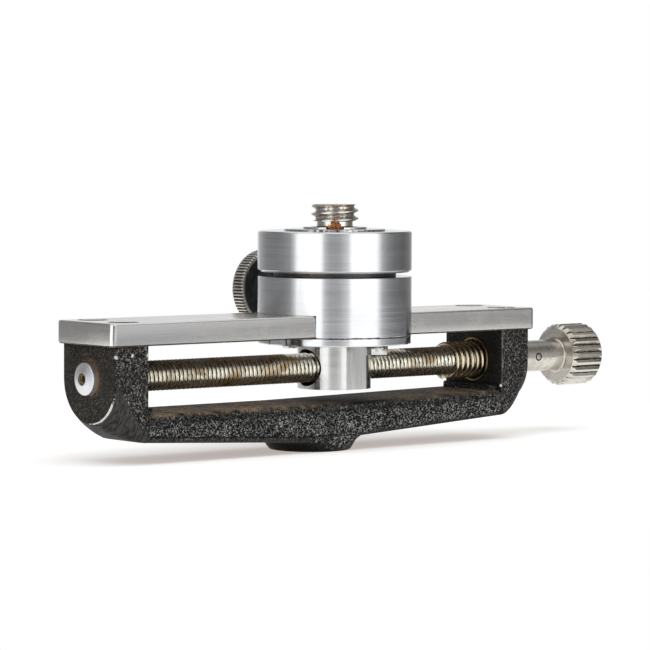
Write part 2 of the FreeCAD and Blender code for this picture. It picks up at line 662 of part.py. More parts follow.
def clamp_pad():
    """Soft brass slug between the clamp screw and the swivel's spigot."""
    spigot = on_carriage(rod(PAD_START, BODY_TOP - SLOT_TOP), SLOT_TOP)
    slug = along_y(rod(CLAMP_SCREW_RADIUS - FACE_CLEARANCE, CLAMP_SCREW_START), 0)
    return slug.cut(spigot)


def clamp_screw():
    """Threaded stem of the clamp."""
    end = CLAMP_RIM_START + CLAMP_SEAT_DEPTH
    return along_y(rod(CLAMP_SCREW_RADIUS, end - CLAMP_SCREW_START), CLAMP_SCREW_START)


def clamp_knob():
    """Knurled disc with a plain hub towards the carriage and a shallow recess in that face."""
    rim_length = CLAMP_RIM_THICKNESS
    rim = fluted_prism(CLAMP_RIM_RADIUS, CLAMP_TOOTH_DEPTH, CLAMP_TEETH, rim_length)
    edge = CLAMP_TOOTH_DEPTH
    blank = turned([
        (0, 0),
        (CLAMP_RIM_RADIUS - edge, 0),
        (CLAMP_RIM_RADIUS, edge),
        (CLAMP_RIM_RADIUS, rim_length - edge),
        (CLAMP_RIM_RADIUS - edge, rim_length),
        (0, rim_length),
    ])
    hub = along_y(rod(CLAMP_HUB_RADIUS, CLAMP_HUB_LENGTH + CLAMP_FACE_DEPTH), CLAMP_HUB_START)
    recess = rod(CLAMP_FACE_RADIUS, CLAMP_FACE_DEPTH)
    disc = along_y(rim.common(blank).cut(recess), CLAMP_RIM_START)
    return disc.fuse(hub).cut(clamp_screw())


# ---------------------------------------------------------------- output
NODES = {
    "yoke_casting": yoke_casting,
    "tripod_bush": tripod_bush,
    "rail_bar": rail_bar,
    "rail_screws": rail_screws,
    "end_bush": end_bush,
    "drive_bush": drive_bush,
    "thrust_washer": thrust_washer,
    "buffer_spring": buffer_spring,
    "drive_screw": drive_screw,
    "drive_knob": drive_knob,
    "knob_taper_pin": knob_taper_pin,
    "carriage_body": carriage_body,
    "keeper_plate": keeper_plate,
    "keeper_screws": keeper_screws,
    "lead_nut": lead_nut,
    "swivel_washer": swivel_washer,
    "swivel_plate": swivel_plate,
    "swivel_pivot_screw": swivel_pivot_screw,
    "camera_stud": camera_stud,
    "clamp_pad": clamp_pad,
    "clamp_screw": clamp_screw,
    "clamp_knob": clamp_knob,
}

os.makedirs("parts", exist_ok=True)
for name, build in NODES.items():
    shape = build()
    shape.exportStep(f"parts/{name}.step")
    print(f"{name}: solids {len(shape.Solids)}, valid {shape.isValid()}, volume {shape.Volume:.1f} mm3")
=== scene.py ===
"""Looks of the macro focusing rail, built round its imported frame.

Every sub-assembly is a class that holds its sizes in millimetres, works its surfaces out with
numpy in the frame of the construction and dresses them. Lengths become metres when a mesh is made.
"""
import logging
import math
from collections.abc import Callable, Sequence
from dataclasses import dataclass, field
from enum import Enum
from functools import reduce

import bmesh
import bpy
import numpy as np
from mathutils import Matrix


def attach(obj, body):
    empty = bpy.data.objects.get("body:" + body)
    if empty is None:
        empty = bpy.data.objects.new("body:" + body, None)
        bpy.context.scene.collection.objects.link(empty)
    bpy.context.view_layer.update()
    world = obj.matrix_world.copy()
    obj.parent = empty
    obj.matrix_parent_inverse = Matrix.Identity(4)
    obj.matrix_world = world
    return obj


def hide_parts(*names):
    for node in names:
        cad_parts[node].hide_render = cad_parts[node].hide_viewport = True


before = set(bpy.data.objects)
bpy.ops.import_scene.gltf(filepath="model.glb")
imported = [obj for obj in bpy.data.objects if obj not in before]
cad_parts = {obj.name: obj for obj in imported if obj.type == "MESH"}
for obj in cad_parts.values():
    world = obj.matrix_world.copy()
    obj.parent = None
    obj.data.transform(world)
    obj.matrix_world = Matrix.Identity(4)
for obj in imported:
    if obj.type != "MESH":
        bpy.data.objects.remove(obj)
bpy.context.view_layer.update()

LOG = logging.getLogger("focusing_rail")
MM = 0.001
TAU = 2 * math.pi
MERGE = 2e-7              # metres, joins the seams of neighbouring grids
SHARP = math.radians(32)  # steeper folds than this keep a crisp edge
FLAT = math.radians(0.5)  # flatter folds than this are dissolved
ARC_STEP = 12             # degrees, the most between two points of a rounded corner
FACING = 0.7              # share of a normal beyond which its face looks along that axis

Array = np.ndarray
Colour = tuple[float, float, float]
Spot = tuple[float, float, float]
Outline = tuple[tuple[float, ...], ...]
Rule = Callable[[Array, Array], Array]
Socket = bpy.types.NodeSocket


# ================================================================ surfaces
class Axis(Enum):
    """The line a turned piece is turned about, with its three directions.

    Each value holds the directions of angle 0, of angle 90 degrees and of the height.
    """
    X = ((0, 0, -1), (0, 1, 0), (1, 0, 0))
    Y = ((1, 0, 0), (0, 0, -1), (0, 1, 0))
    Z = ((1, 0, 0), (0, 1, 0), (0, 0, 1))


@dataclass
class Patch:
    """A grid surface: rows and columns of points, joined by quads.

    Attributes:
        points: Points in millimetres, shaped rows by columns by 3.
        close_rows: Whether the last row joins the first.
        close_columns: Whether the last column joins the first.
        marks: Named numbers, such as how worn it is: one in all, or one for each row, each
            column or each point.
        keep: Which quads are made; all of them where it is None.
        material: Index of the patch's material on its piece.
    """
    points: Array
    close_rows: bool = False
    close_columns: bool = False
    marks: dict[str, Array | float] = field(default_factory=dict)
    keep: Array | None = None
    material: int = 0

    def quads(self) -> tuple[Array, Array]:
        """Corner indices of the quads, and their UV, which is run length in millimetres.

        U adds up the mean distance from row to row and V that from column to column, so U
        runs along a profile and V round it.

        Returns:
            Indices shaped quads by 4, and UV shaped quads by 4 by 2.
        """
        rows, columns = self.points.shape[:2]
        tall = np.arange(rows + 1 if self.close_rows else rows)
        wide = np.arange(columns + 1 if self.close_columns else columns)
        grid = (tall[:, None] % rows) * columns + wide[None, :] % columns
        corners = np.stack([grid[:-1, :-1], grid[:-1, 1:], grid[1:, 1:], grid[1:, :-1]], axis=-1)
        full = self.points.reshape(-1, 3)[grid]
        run = np.linalg.norm(np.diff(full, axis=0), axis=2).mean(axis=1)
        girth = np.linalg.norm(np.diff(full, axis=1), axis=2).max(axis=0)
        u, v = (np.concatenate([[0.0], np.cumsum(step)]) for step in (run, girth))
        place = np.stack(np.meshgrid(u, v, indexing="ij"), axis=-1)
        uv = np.stack([place[:-1, :-1], place[:-1, 1:], place[1:, 1:], place[1:, :-1]], axis=-2)
        chosen = np.ones(corners.shape[:2], bool) if self.keep is None else self.keep
        return corners[chosen], uv[chosen]


def soften(corners: Sequence[Sequence[float]], closed: bool = False,
           support: float = 0.03) -> Array:
    """Outline through corners, with each rounded corner drawn as its tangent arc.

    An arc is tangent to both of its corner's edges. A support point stands a little outside
    each end of an arc, so that a flat beside it is shaded flat.

    Args:
        corners: Each corner's two coordinates and, where it is rounded, its radius.
        closed: Whether the outline runs back to its first corner.
        support: Distance of the support points from the arcs.

    Returns:
        Points along the outline, shaped count by 2.
    """
    spots = [np.array(corner[:2], float) for corner in corners]
    radii = [corner[2] if len(corner) > 2 else 0.0 for corner in corners]
    count, points = len(spots), []
    for index, (spot, radius) in enumerate(zip(spots, radii)):
        inner = closed or 0 < index < count - 1
        if not radius or not inner:
            points.append(spot)
            continue
        back, onward = spots[index - 1] - spot, spots[(index + 1) % count] - spot
        reach_back, reach_on = np.linalg.norm(back), np.linalg.norm(onward)
        back, onward = back / reach_back, onward / reach_on
        half = math.acos(float(np.clip(back @ onward, -1, 1))) / 2
        setback = radius / math.tan(half)
        middle = spot + (back + onward) / np.linalg.norm(back + onward) * radius / math.sin(half)
        first, last = spot + back * setback, spot + onward * setback
        turn = math.pi - 2 * half
        share = np.linspace(0, 1, max(3, math.ceil(math.degrees(turn) / ARC_STEP) + 1))[:, None]
        leaving, nearing = np.sin((1 - share) * turn), np.sin(share * turn)
        arc = middle + ((first - middle) * leaving + (last - middle) * nearing) / math.sin(turn)
        if reach_back > setback + 2 * support:
            points.append(first + back * support)
        points.extend(arc)
        if reach_on > setback + 2 * support:
            points.append(last + onward * support)
    return np.array(points)


def ring_angles(count: int) -> Array:
    """Even angles of a full turn, without the last one."""
    return np.arange(count) * TAU / count


def lathe(radii: Array, heights: Array, angles: Array, axis: Axis, centre: Sequence[float],
          **options: object) -> Patch:
    """Surface round an axis: centre + height along it + radius in the direction of the angle.

    Args:
        radii: Radius of each point, shaped rows by columns or rows by 1.
        heights: Height of each point, shaped in either way too.
        angles: Angle of each column, or of each point.
        axis: The axis and its directions.
        centre: Where height 0 is.
        **options: Further fields of the patch.

    Returns:
        The patch, closed round the axis unless the options say otherwise.
    """
    start, quarter, along = (np.array(direction, float) for direction in axis.value)
    radii, heights, angles = np.broadcast_arrays(radii, heights, np.atleast_2d(angles))
    x, y = radii * np.cos(angles), radii * np.sin(angles)
    points = (np.array(centre, float) + heights[..., None] * along
              + x[..., None] * start + y[..., None] * quarter)
    return Patch(points, **{"close_columns": True, **options})


def revolve(profile: Array, axis: Axis, centre: Sequence[float], count: int = 256,
            **options: object) -> Patch:
    """Surface of revolution of a profile of (radius, height) points."""
    return lathe(profile[:, :1], profile[:, 1:], ring_angles(count), axis, centre, **options)


def between(first: Array, second: Array, rows: int, **options: object) -> Patch:
    """Ruled surface: each point is (1 - share) of the first line and share of the second."""
    share = np.linspace(0, 1, rows)[:, None, None]
    return Patch((1 - share) * first[None] + share * second[None], **options)


def fan(rim: Array, rows: int = 2, **options: object) -> Patch:
    """Flat cap of a closed rim: rings shrink from the rim to its middle."""
    middle = np.broadcast_to(rim.mean(axis=0), rim.shape)
    return between(rim, middle, rows, close_columns=True, **options)


def screw_thread(start: float, end: float, pitch: float, crest: float, root: float, phase: float,
                 sides: int) -> tuple[Array, Array, Array, Array]:
    """Right-hand thread between two heights, one pitch of profile swept along its helix.

    A point of the profile at share s of the pitch stands at height pitch * (s + turn + phase +
    angle / full turn) and radius root + (crest - root) * lift(s), where lift is 1 on the crest
    and falls in straight flanks to 0 in the root. Beyond each end the surface runs flat to the
    root circle.

    Args:
        start: Height of the thread's first end.
        end: Height of its other end.
        pitch: Height of one turn.
        crest: Outer radius.
        root: Radius at the bottom of the groove.
        phase: Share of a turn by which the crest is set over at angle 0.
        sides: Columns in one turn.

    Returns:
        Radii and heights shaped rows by columns, the columns' angles, and how deep each
        point is in the groove, from 0 on the crest to 1 in the root.
    """
    share = np.array([-0.0625, 0.0625, 0.16, 0.27, 0.375, 0.5, 0.625, 0.73, 0.84])
    lift = np.array([1.0, 1.0, 0.69, 0.336, 0.03, 0.0, 0.03, 0.336, 0.69])
    first = math.floor((start / pitch) - 2)
    turns = np.arange(first, math.ceil(end / pitch) + 2)
    angles = np.linspace(0, TAU, sides + 1)
    rise = (turns[:, None] + share[None]).reshape(-1, 1)
    heights = pitch * (rise + phase + angles[None] / TAU)
    depth = np.broadcast_to(np.tile(1 - lift, len(turns))[:, None], heights.shape)
    radii = root + (crest - root) * (1 - depth)
    below, above = heights < start, heights > end
    last_below = below & ~np.vstack([below[1:], np.zeros((1, sides + 1), bool)])
    first_above = above & ~np.vstack([np.zeros((1, sides + 1), bool), above[:-1]])
    radii = np.where((below & ~last_below) | (above & ~first_above), root, radii)
    return radii, np.clip(heights, start, end), angles, depth


def ripple(points: Array, size: float, seed: float) -> Array:
    """Smooth unevenness: a sum of sines of the coordinates in crossing directions.

    Args:
        points: Points in millimetres.
        size: Length of the widest wave.
        seed: Sets the waves over.

    Returns:
        A number from about -1 to 1 for each point.
    """
    ways = np.array([[1.0, 0.3, -0.5], [-0.6, 1.1, 0.4], [0.5, -0.7, 1.2], [1.7, 1.9, 0.6],
                     [-1.3, 2.1, -1.9]])
    waves = np.sin(points @ ways.T * (TAU / size) + seed * np.arange(1, 6))
    return waves @ np.array([0.3, 0.25, 0.2, 0.14, 0.11])


def hump(value: Array, middle: float, width: float) -> Array:
    """Bell curve: 1 at the middle, fading over the width."""
    return np.exp(-(((value - middle) / width) ** 2))


# ================================================================ pieces
def make_piece(name: str, patches: Sequence[Patch], finishes: Sequence["Finish"], body: str,
               nodes: Sequence[str]) -> bpy.types.Object:
    """Join patches into one closed mesh and set it on its body.

    Args:
        name: Name of the piece.
        patches: Its surfaces.
        finishes: Its finishes, in the order of the patches' material indices.
        body: The body it rides on.
        nodes: The construction's nodes that it stands for.

    Returns:
        The piece's object, at the origin.
    """
    sizes = [patch.points.shape[:2] for patch in patches]
    starts = np.cumsum([0] + [rows * columns for rows, columns in sizes])
    made = [patch.quads() for patch in patches]
    corners = np.concatenate([quads + start for (quads, _), start in zip(made, starts)])
    mesh = bpy.data.meshes.new(name)
    points = np.concatenate([patch.points.reshape(-1, 3) for patch in patches]) * MM
    mesh.from_pydata(points.tolist(), [], corners.tolist())
    runs = np.concatenate([uv.reshape(-1) for _, uv in made])
    mesh.uv_layers.new(name="run").data.foreach_set("uv", runs.astype(np.float32))
    for mark in sorted({mark for patch in patches for mark in patch.marks}):
        values = np.concatenate([np.broadcast_to(patch.marks.get(mark, 0.0), size).reshape(-1)
                                 for patch, size in zip(patches, sizes)])
        store(mesh, mark, "POINT", values)
    index = np.concatenate([np.full(len(quads), patch.material)
                            for (quads, _), patch in zip(made, patches)])
    mesh.polygons.foreach_set("material_index", index.astype(np.int32))
    return finish_mesh(name, mesh, finishes, body, nodes)


def turned_piece(name: str, profile: Array, line: tuple[Axis, Sequence[float]], finish: "Finish",
                 body: str, node: str, slot: str, count: int = 128, ring: bool = True,
                 **marks: Array) -> bpy.types.Object:
    """Make a piece that is one profile turned about an axis.

    Args:
        name: Name of the piece.
        profile: Its (radius, height) points.
        line: The axis, and where height 0 is.
        finish: Its finish.
        body: The body it rides on.
        node: The construction's node that it stands for.
        slot: Name of a material slot; not used.
        count: Columns round the axis.
        ring: Whether the profile runs back to its first point.
        **marks: The patch's marks.

    Returns:
        The piece's object.
    """
    skin = revolve(profile, *line, count, close_rows=ring, marks=marks)
    return make_piece(name, [skin], [finish], body, [node])


def read(items: bpy.types.bpy_prop_collection, name: str, size: int = 1, kind: type = int) -> Array:
    """One field of all the items of a mesh, shaped items by size."""
    values = np.zeros(len(items) * size, kind)
    items.foreach_get(name, values)
    return values.reshape(-1, size)


def store(mesh: bpy.types.Mesh, mark: str, domain: str, values: Array) -> None:
    """Store a mark on the points or the corners of a mesh."""
    made = mesh.attributes.new(mark, "FLOAT", domain)
    made.data.foreach_set("value", values.astype(np.float32))


def finish_mesh(name: str, mesh: bpy.types.Mesh, finishes: Sequence["Finish"], body: str,
                nodes: Sequence[str], dissolve: bool = False,
                sharp: float = SHARP) -> bpy.types.Object:
    """Merge a mesh's doubles, turn its faces outward, dress it and set it on its body.

    Args:
        name: Name of the piece.
        mesh: Its mesh.
        finishes: Its finishes, in the order of the material indices.
        body: The body it rides on.
        nodes: The construction's nodes that it stands for.
        dissolve: Whether flat neighbours become one face.
        sharp: Folds steeper than this keep a crisp edge.

    Returns:
        The piece's object.
    """
    work = bmesh.new()
    work.from_mesh(mesh)
    bmesh.ops.remove_doubles(work, verts=work.verts, dist=MERGE)
    bmesh.ops.dissolve_degenerate(work, edges=work.edges, dist=MERGE)
    if dissolve:
        bmesh.ops.dissolve_limit(work, angle_limit=FLAT, verts=work.verts, edges=work.edges)
    loose = [vertex for vertex in work.verts if not vertex.link_faces]
    bmesh.ops.delete(work, geom=loose, context="VERTS")
    bmesh.ops.recalc_face_normals(work, faces=work.faces)
    work.to_mesh(mesh)
    work.free()
    mesh.shade_smooth()
    mesh.set_sharp_from_angle(angle=sharp)
    for finish in finishes:
        mesh.materials.append(finish.material())
    piece = bpy.data.objects.new(name, mesh)
    bpy.context.scene.collection.objects.link(piece)
    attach(piece, body)
    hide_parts(*nodes)
    LOG.info("%s: %d faces on %s, for %s", name, len(mesh.polygons), body, ", ".join(nodes))
    return piece


def from_cad(name: str, node: str, run: Rule, finish: "Finish", body: str, slot: str, bevel: float,
             sharp: float = SHARP, **marks: Rule) -> bpy.types.Object:
    """A merged copy of a node's mesh, with UV for its tool marks and softly broken edges.

    Args:
        name: Name of the piece.
        node: The construction's node.
        run: Gives UV in millimetres from the corners' points and their faces' normals.
        finish: Its finish.
        body: The body it rides on.
        slot: Name of a material slot; not used.
        bevel: Width of the broken edges.
        sharp: Folds steeper than this are edges.
        **marks: Each gives a named mark of each corner from the same two arrays.

    Returns:
        The piece's object.
    """
    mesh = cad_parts[node].data.copy()
    mesh.name = name
    mesh.materials.clear()
    while mesh.uv_layers:
        mesh.uv_layers.remove(mesh.uv_layers[0])
    piece = finish_mesh(name, mesh, [finish], body, [node], dissolve=True, sharp=sharp)
    corners = read(mesh.loops, "vertex_index")[:, 0]
    places = read(mesh.vertices, "co", 3, float)[corners] / MM
    sizes = read(mesh.polygons, "loop_total")[:, 0]
    normals = np.repeat(read(mesh.polygons, "normal", 3, float), sizes, axis=0)
    uv = run(places, normals)
    mesh.uv_layers.new(name="run").data.foreach_set("uv", uv.astype(np.float32).reshape(-1))
    for mark, rule in marks.items():
        store(mesh, mark, "CORNER", rule(places, normals))
    edge = piece.modifiers.new("broken_edges", "BEVEL")
    edge.width, edge.segments, edge.limit_method = bevel * MM, 2, "ANGLE"
    edge.angle_limit, edge.harden_normals = sharp, True
    return piece


# ================================================================ materials
PAINTED_SHEEN: Colour = (0.80, 0.785, 0.755)     # painted sheen: lighter tint laid on metal faces as painted reflection
SCRATCHED: Colour = (0.95, 0.95, 0.95)


class NodeKit:
    """Short calls that build the nodes of one material or of the world."""

    def __init__(self, made: bpy.types.Material | bpy.types.World) -> None:
        """Take a material or a world, and find its surface."""
        self.made = made
        self.made.use_nodes = True
        self.tree = self.made.node_tree
        self.surface = self.tree.nodes.get("Principled BSDF") or self.tree.nodes["Background"]
        self._place: Socket | None = None

    def add(self, kind: str, inputs: dict[str | int, object], output: str | int = 0,
            **settings: object) -> Socket:
        """Add a node.

        Args:
            kind: The node's type, without its ShaderNode prefix.
            inputs: A value or a socket for each named or numbered input.
            output: The output wanted.
            **settings: The node's own properties.

        Returns:
            The output's socket.
        """
        node = self.tree.nodes.new("ShaderNode" + kind)
        for key, value in settings.items():
            setattr(node, key, value)
        for key, value in inputs.items():
            if isinstance(value, bpy.types.NodeSocket):
                self.tree.links.new(value, node.inputs[key])
            elif isinstance(value, tuple) and len(value) == 3 and node.inputs[key].type == "RGBA":
                node.inputs[key].default_value = (*value, 1.0)
            else:
                node.inputs[key].default_value = value
        return node.outputs[output]

    def place(self) -> Socket:
        """The piece's own coordinates in millimetres."""
        if self._place is None:
            coordinates = self.add("TexCoord", {}, "Object")
            self._place = self.add("Mapping", {"Vector": coordinates, "Scale": (1 / MM,) * 3})
        return self._place

    def stretched(self, source: Socket, scale: Spot, turn: float = 0.0) -> Socket:
        """Coordinates turned about Z and multiplied by a scale for each direction."""
        return self.add("Mapping", {"Vector": source, "Scale": scale, "Rotation": (0, 0, turn)})

    def noise(self, vector: Socket, scale: float, detail: float = 2.0, roughness: float = 0.5,
              distortion: float = 0.0) -> Socket:
        """Smooth noise from 0 to 1 whose widest waves are 1 / scale long."""
        return self.add("TexNoise", {"Vector": vector, "Scale": scale, "Detail": detail,
                                     "Roughness": roughness, "Distortion": distortion}, "Fac")

    def step(self, kind: str, first: object, second: object = 0.0, clamp: bool = False) -> Socket:
        """One step of arithmetic, such as ABSOLUTE or MAXIMUM."""
        return self.add("Math", {0: first, 1: second}, operation=kind, use_clamp=clamp)

    def times(self, *factors: object) -> Socket:
        """Product of the factors."""
        return reduce(lambda first, second: self.step("MULTIPLY", first, second), factors)

    def plus(self, first: object, second: object, clamp: bool = False) -> Socket:
        """Sum of two numbers."""
        return self.step("ADD", first, second, clamp)

    def minus(self, first: object, second: object, clamp: bool = False) -> Socket:
        """The first number less the second."""
        return self.step("SUBTRACT", first, second, clamp)

    def off_middle(self, value: Socket) -> Socket:
        """How far a noise is from its middle value."""
        return self.step("ABSOLUTE", self.minus(value, 0.5))

    def wander(self, scale: float, detail: float, roughness: float, swing: float) -> Socket:
        """Noise in place that goes from -swing to swing."""
        cloud = self.noise(self.place(), scale, detail, roughness)
        return self.fade(cloud, 0.3, 0.7, -swing, swing)

    def rays(self, *kinds: str) -> Socket:
        """1 where the ray is of one of the kinds, such as Camera, and 0 elsewhere."""
        return reduce(lambda first, second: self.plus(first, second, clamp=True),
                      [self.add("LightPath", {}, f"Is {kind} Ray") for kind in kinds])

    def fade(self, value: Socket, low: float, high: float, start: float = 0.0,
             end: float = 1.0) -> Socket:
        """Smooth step: start where the value is low, end where it is high."""
        return self.add("MapRange", {"Value": value, "From Min": low, "From Max": high,
                                     "To Min": start, "To Max": end},
                        interpolation_type="SMOOTHSTEP")

    def mix(self, share: object, first: object, second: object) -> Socket:
        """Colour that goes from the first to the second with the share."""
        return self.add("Mix", {0: share, 6: first, 7: second}, 2, data_type="RGBA")

    def layers(self, colour: object, *coats: tuple[Socket, Colour]) -> Socket:
        """Colour with coats laid over it, each with its share and its own colour."""
        return reduce(lambda under, coat: self.mix(coat[0], under, coat[1]), coats, colour)

    def mark(self, name: str) -> Socket:
        """A number stored on the mesh's points."""
        return self.add("Attribute", {}, "Fac", attribute_name=name)

    def bump(self, height: Socket, depth: float) -> Socket:
        """Surface normal bent by a height map of the given depth in millimetres."""
        return self.add("Bump", {"Height": height, "Distance": depth * MM, "Strength": 1.0})

    def dress(self, constants: dict[str, object], **links: Socket) -> bpy.types.Material:
        """Set the surface's constant inputs, link the others and return the material."""
        for key, value in constants.items():
            self.surface.inputs[key].default_value = value
        for key, value in links.items():
            self.tree.links.new(value, self.surface.inputs[key.replace("_", " ")])
        return self.made


class Finish:
    """A finish that makes its material once."""

    _made: dict[str, bpy.types.Material] = {}

    def material(self) -> bpy.types.Material:
        """The finish's material, made on first use."""
        if self.name not in Finish._made:
            Finish._made[self.name] = self.build(NodeKit(bpy.data.materials.new(self.name)))
        return Finish._made[self.name]


@dataclass(frozen=True)
class Metal(Finish):
    """Bare metal with tool marks, faint smears, scratches, and marked soil, painted shade and
    painted sheen.

    The marks are lines of equal U, so they run round a turned piece and along a drawn one. The
    gloss is wider along U, across the marks.

    Attributes:
        name: Name of the material.
        tint: Colour of the clean metal.
        rough: Roughness of the clean metal.
        pull: Anisotropy, from 0 to 1.
        grain: Depth of the tool marks in millimetres.
        pitch: Tool marks in a millimetre.
        run: How much longer than wide a tool mark is.
        soil: Colour of the soil and of the painted shade, where the piece is so marked.
        smear: Strength of the wide uneven tint.
        smear_tint: Colour of the smears.
        scratches: Strength of the scratches.
        specks: Strength of small dark spots.
    """
    name: str
    tint: Colour
    rough: float = 0.28
    pull: float = 0.45
    grain: float = 0.004
    pitch: float = 7.0
    run: float = 90.0
    soil: Colour = (0.02, 0.016, 0.01)
    smear: float = 0.25
    smear_tint: Colour = (0.42, 0.38, 0.33)
    scratches: float = 0.4
    specks: float = 0.3

    def build(self, kit: NodeKit) -> bpy.types.Material:
        """Work out the metal's nodes."""
        run, place = kit.add("UVMap", {}, uv_map="run"), kit.place()
        pitch, wide = self.pitch, self.pitch / 6
        fine = kit.noise(kit.stretched(run, (pitch, pitch / self.run, 1.0)), 1.0, 3.0, 0.65)
        broad = kit.noise(kit.stretched(run, (wide, wide / self.run * 2, 1.0)), 1.0, 2.0)
        marks = kit.plus(kit.times(fine, 0.65), kit.times(broad, 0.35))
        smear = kit.fade(kit.noise(place, 0.16, 4.0, 0.6, 0.6), 0.46, 0.68, 0.0, self.smear)
        cut = kit.stretched(place, (0.35, 1.6, 0.9), 0.7)
        hair = kit.off_middle(kit.noise(cut, 0.5, 1.0, 0.4, 0.3))
        where = kit.fade(kit.noise(place, 0.21, 1.0), 0.5, 0.62)
        scratch = kit.times(kit.fade(hair, 0.0, 0.0035, 1.0, 0.0), where, self.scratches)
        spot = kit.add("TexVoronoi", {"Vector": place, "Scale": 0.45}, "Distance")
        rare = kit.fade(kit.noise(place, 0.9, 1.0), 0.55, 0.62)
        speck = kit.times(kit.fade(spot, 0.05, 0.11, 1.0, 0.0), rare, self.specks)
        # Darkened to this colour where marked: soil on some pieces, painted shade on others.
        soil = kit.fade(kit.plus(kit.mark("soil"), kit.wander(1.3, 3.0, 0.5, 0.22)), 0.25, 0.75)
        dull = tuple(channel * 0.88 for channel in self.tint)
        # The bright mark lays painted sheen, a lighter tint, where the piece is marked.
        colour = kit.layers(kit.mix(kit.fade(marks, 0.32, 0.68), dull, self.tint),
                            (smear, self.smear_tint), (kit.mark("bright"), PAINTED_SHEEN),
                            (scratch, SCRATCHED), (speck, self.soil), (soil, self.soil))
        rough = kit.plus(kit.fade(marks, 0.3, 0.7, -0.03, 0.05), self.rough)
        rough = kit.plus(rough, kit.times(smear, 0.22))
        rough = kit.plus(rough, kit.times(soil, 0.25), clamp=True)
        height = kit.minus(marks, kit.times(scratch, 0.6))
        metallic = kit.minus(1.0, kit.times(kit.plus(soil, speck, clamp=True), 0.75))
        tangent = kit.add("Tangent", {}, direction_type="UV_MAP", uv_map="run")
        return kit.dress({"Anisotropic": self.pull}, Base_Color=colour, Roughness=rough,
                         Metallic=metallic, Normal=kit.bump(height, self.grain), Tangent=tangent)


@dataclass(frozen=True)
class CrinklePaint(Finish):
    """Black crinkle paint on the casting: worm-like grains, painted grey glints, dust and worn
    edges.

    Attributes:
        name: Name of the material.
        ground: Colour between the grains.
        fleck: Colour of the grains' painted glints, also of pale grit and painted sheen.
        dust: Colour of the dust on faces that look up.
        bare: Colour of the metal where the paint is worn off.
        rust: Colour of the stain round a steel piece.
        crease: Colour in a crease, where no light comes.
        sway: How far the grains are bent, in millimetres.
        chips: Places, in millimetres, of chips in the paint, each with its radius.
    """
    name: str
    ground: Colour = (0.004, 0.0038, 0.0036)
    fleck: Colour = (0.72, 0.71, 0.69)
    dust: Colour = (0.50, 0.37, 0.24)
    bare: Colour = (0.86, 0.84, 0.8)
    rust: Colour = (0.33, 0.17, 0.055)
    crease: Colour = (0.002, 0.002, 0.002)
    sway: float = 0.55
    chips: tuple[tuple[Spot, float], ...] = ()

    def build(self, kit: NodeKit) -> bpy.types.Material:
        """Work out the paint's nodes.

        A grain is where a noise, bent by another, passes through its middle value, which
        leaves narrow winding ridges.
        """
        place = kit.place()
        loose = kit.add("TexNoise", {"Vector": place, "Scale": 1.7, "Detail": 2.0}, "Color")
        swing = kit.add("VectorMath", {0: loose, "Scale": self.sway}, operation="SCALE")
        bent = kit.add("VectorMath", {0: place, 1: swing}, operation="ADD")
        worms = kit.fade(kit.off_middle(kit.noise(bent, 2.0, 1.0, 0.5)), 0.0, 0.085, 1.0, 0.0)
        grit = kit.noise(place, 5.5, 3.0, 0.7)
        smooth, fine = kit.mark("smooth"), kit.mark("fine")
        rough_part = kit.minus(1.0, kit.times(smooth, 0.86), clamp=True)
        height = kit.times(kit.plus(kit.times(worms, 0.62), kit.times(grit, 0.38)), rough_part)
        facing = kit.add("SeparateXYZ", {0: kit.add("NewGeometry", {}, "Normal")}, 2)
        # Painted glints: the flecks on the grains stand for glints and are painted only on faces
        # that look sideways.
        upright = kit.fade(kit.step("ABSOLUTE", facing), 0.2, 0.75, 1.0, 0.12)
        patchy = kit.fade(kit.noise(place, 2.3, 2.0, 0.6), 0.34, 0.62, 0.08, 1.0)
        region = kit.fade(kit.noise(place, 0.16, 2.0), 0.3, 0.7, 0.55, 1.0)
        coarse = kit.minus(1.0, kit.times(fine, 0.8))
        flecks = kit.times(worms, kit.times(patchy, upright), region, rough_part, coarse)
        pale_grit = kit.times(kit.fade(grit, 0.5, 0.75, 0.0, 0.04), rough_part)
        # Painted sheen: pale streaks where the piece is marked pale.
        strokes = kit.noise(kit.stretched(place, (3.0, 0.4, 0.7)), 1.0, 3.0, 0.6)
        sweep = kit.times(kit.mark("pale"), kit.fade(strokes, 0.35, 0.65, 0.012, 0.09))
        drift = kit.stretched(place, (1.0, 0.55, 1.0))
        settled = kit.times(kit.fade(kit.noise(drift, 0.35, 4.0, 0.65), 0.34, 0.62, 0.0, 0.85),
                            kit.mark("dusty"), kit.fade(facing, 0.3, 0.9),
                            kit.fade(kit.noise(drift, 2.4, 3.0, 0.7), 0.34, 0.62, 0.08, 1.0))
        stain = kit.times(kit.mark("rusty"), kit.fade(kit.noise(place, 1.9, 4.0, 0.7), 0.36, 0.6))
        bare = kit.fade(kit.plus(kit.mark("worn"), kit.wander(1.1, 3.0, 0.6, 0.24)), 0.48, 0.62)
        for spot, radius in self.chips:
            middle = tuple(value + self.sway / 2 for value in spot)
            reach = kit.add("VectorMath", {0: bent, 1: middle}, "Value", operation="DISTANCE")
            bare = kit.step("MAXIMUM", bare, kit.fade(reach, radius * 0.75, radius, 1.0, 0.0))
        colour = kit.layers(self.ground, (pale_grit, self.fleck),
                            (kit.times(fine, 0.03), self.dust), (sweep, self.fleck),
                            (flecks, self.fleck), (settled, self.dust), (stain, self.rust),
                            (kit.times(kit.mark("crease"), 0.96), self.crease), (bare, self.bare))
        rough = kit.minus(kit.fade(grit, 0.3, 0.7, 0.46, 0.62), kit.times(smooth, 0.1))
        rough = kit.plus(rough, kit.times(settled, 0.35), clamp=True)
        rough = kit.minus(rough, kit.times(bare, 0.22))
        return kit.dress({"Specular IOR Level": 0.09}, Base_Color=colour, Roughness=rough,
                         Metallic=kit.times(bare, 0.6), Normal=kit.bump(height, 0.17))


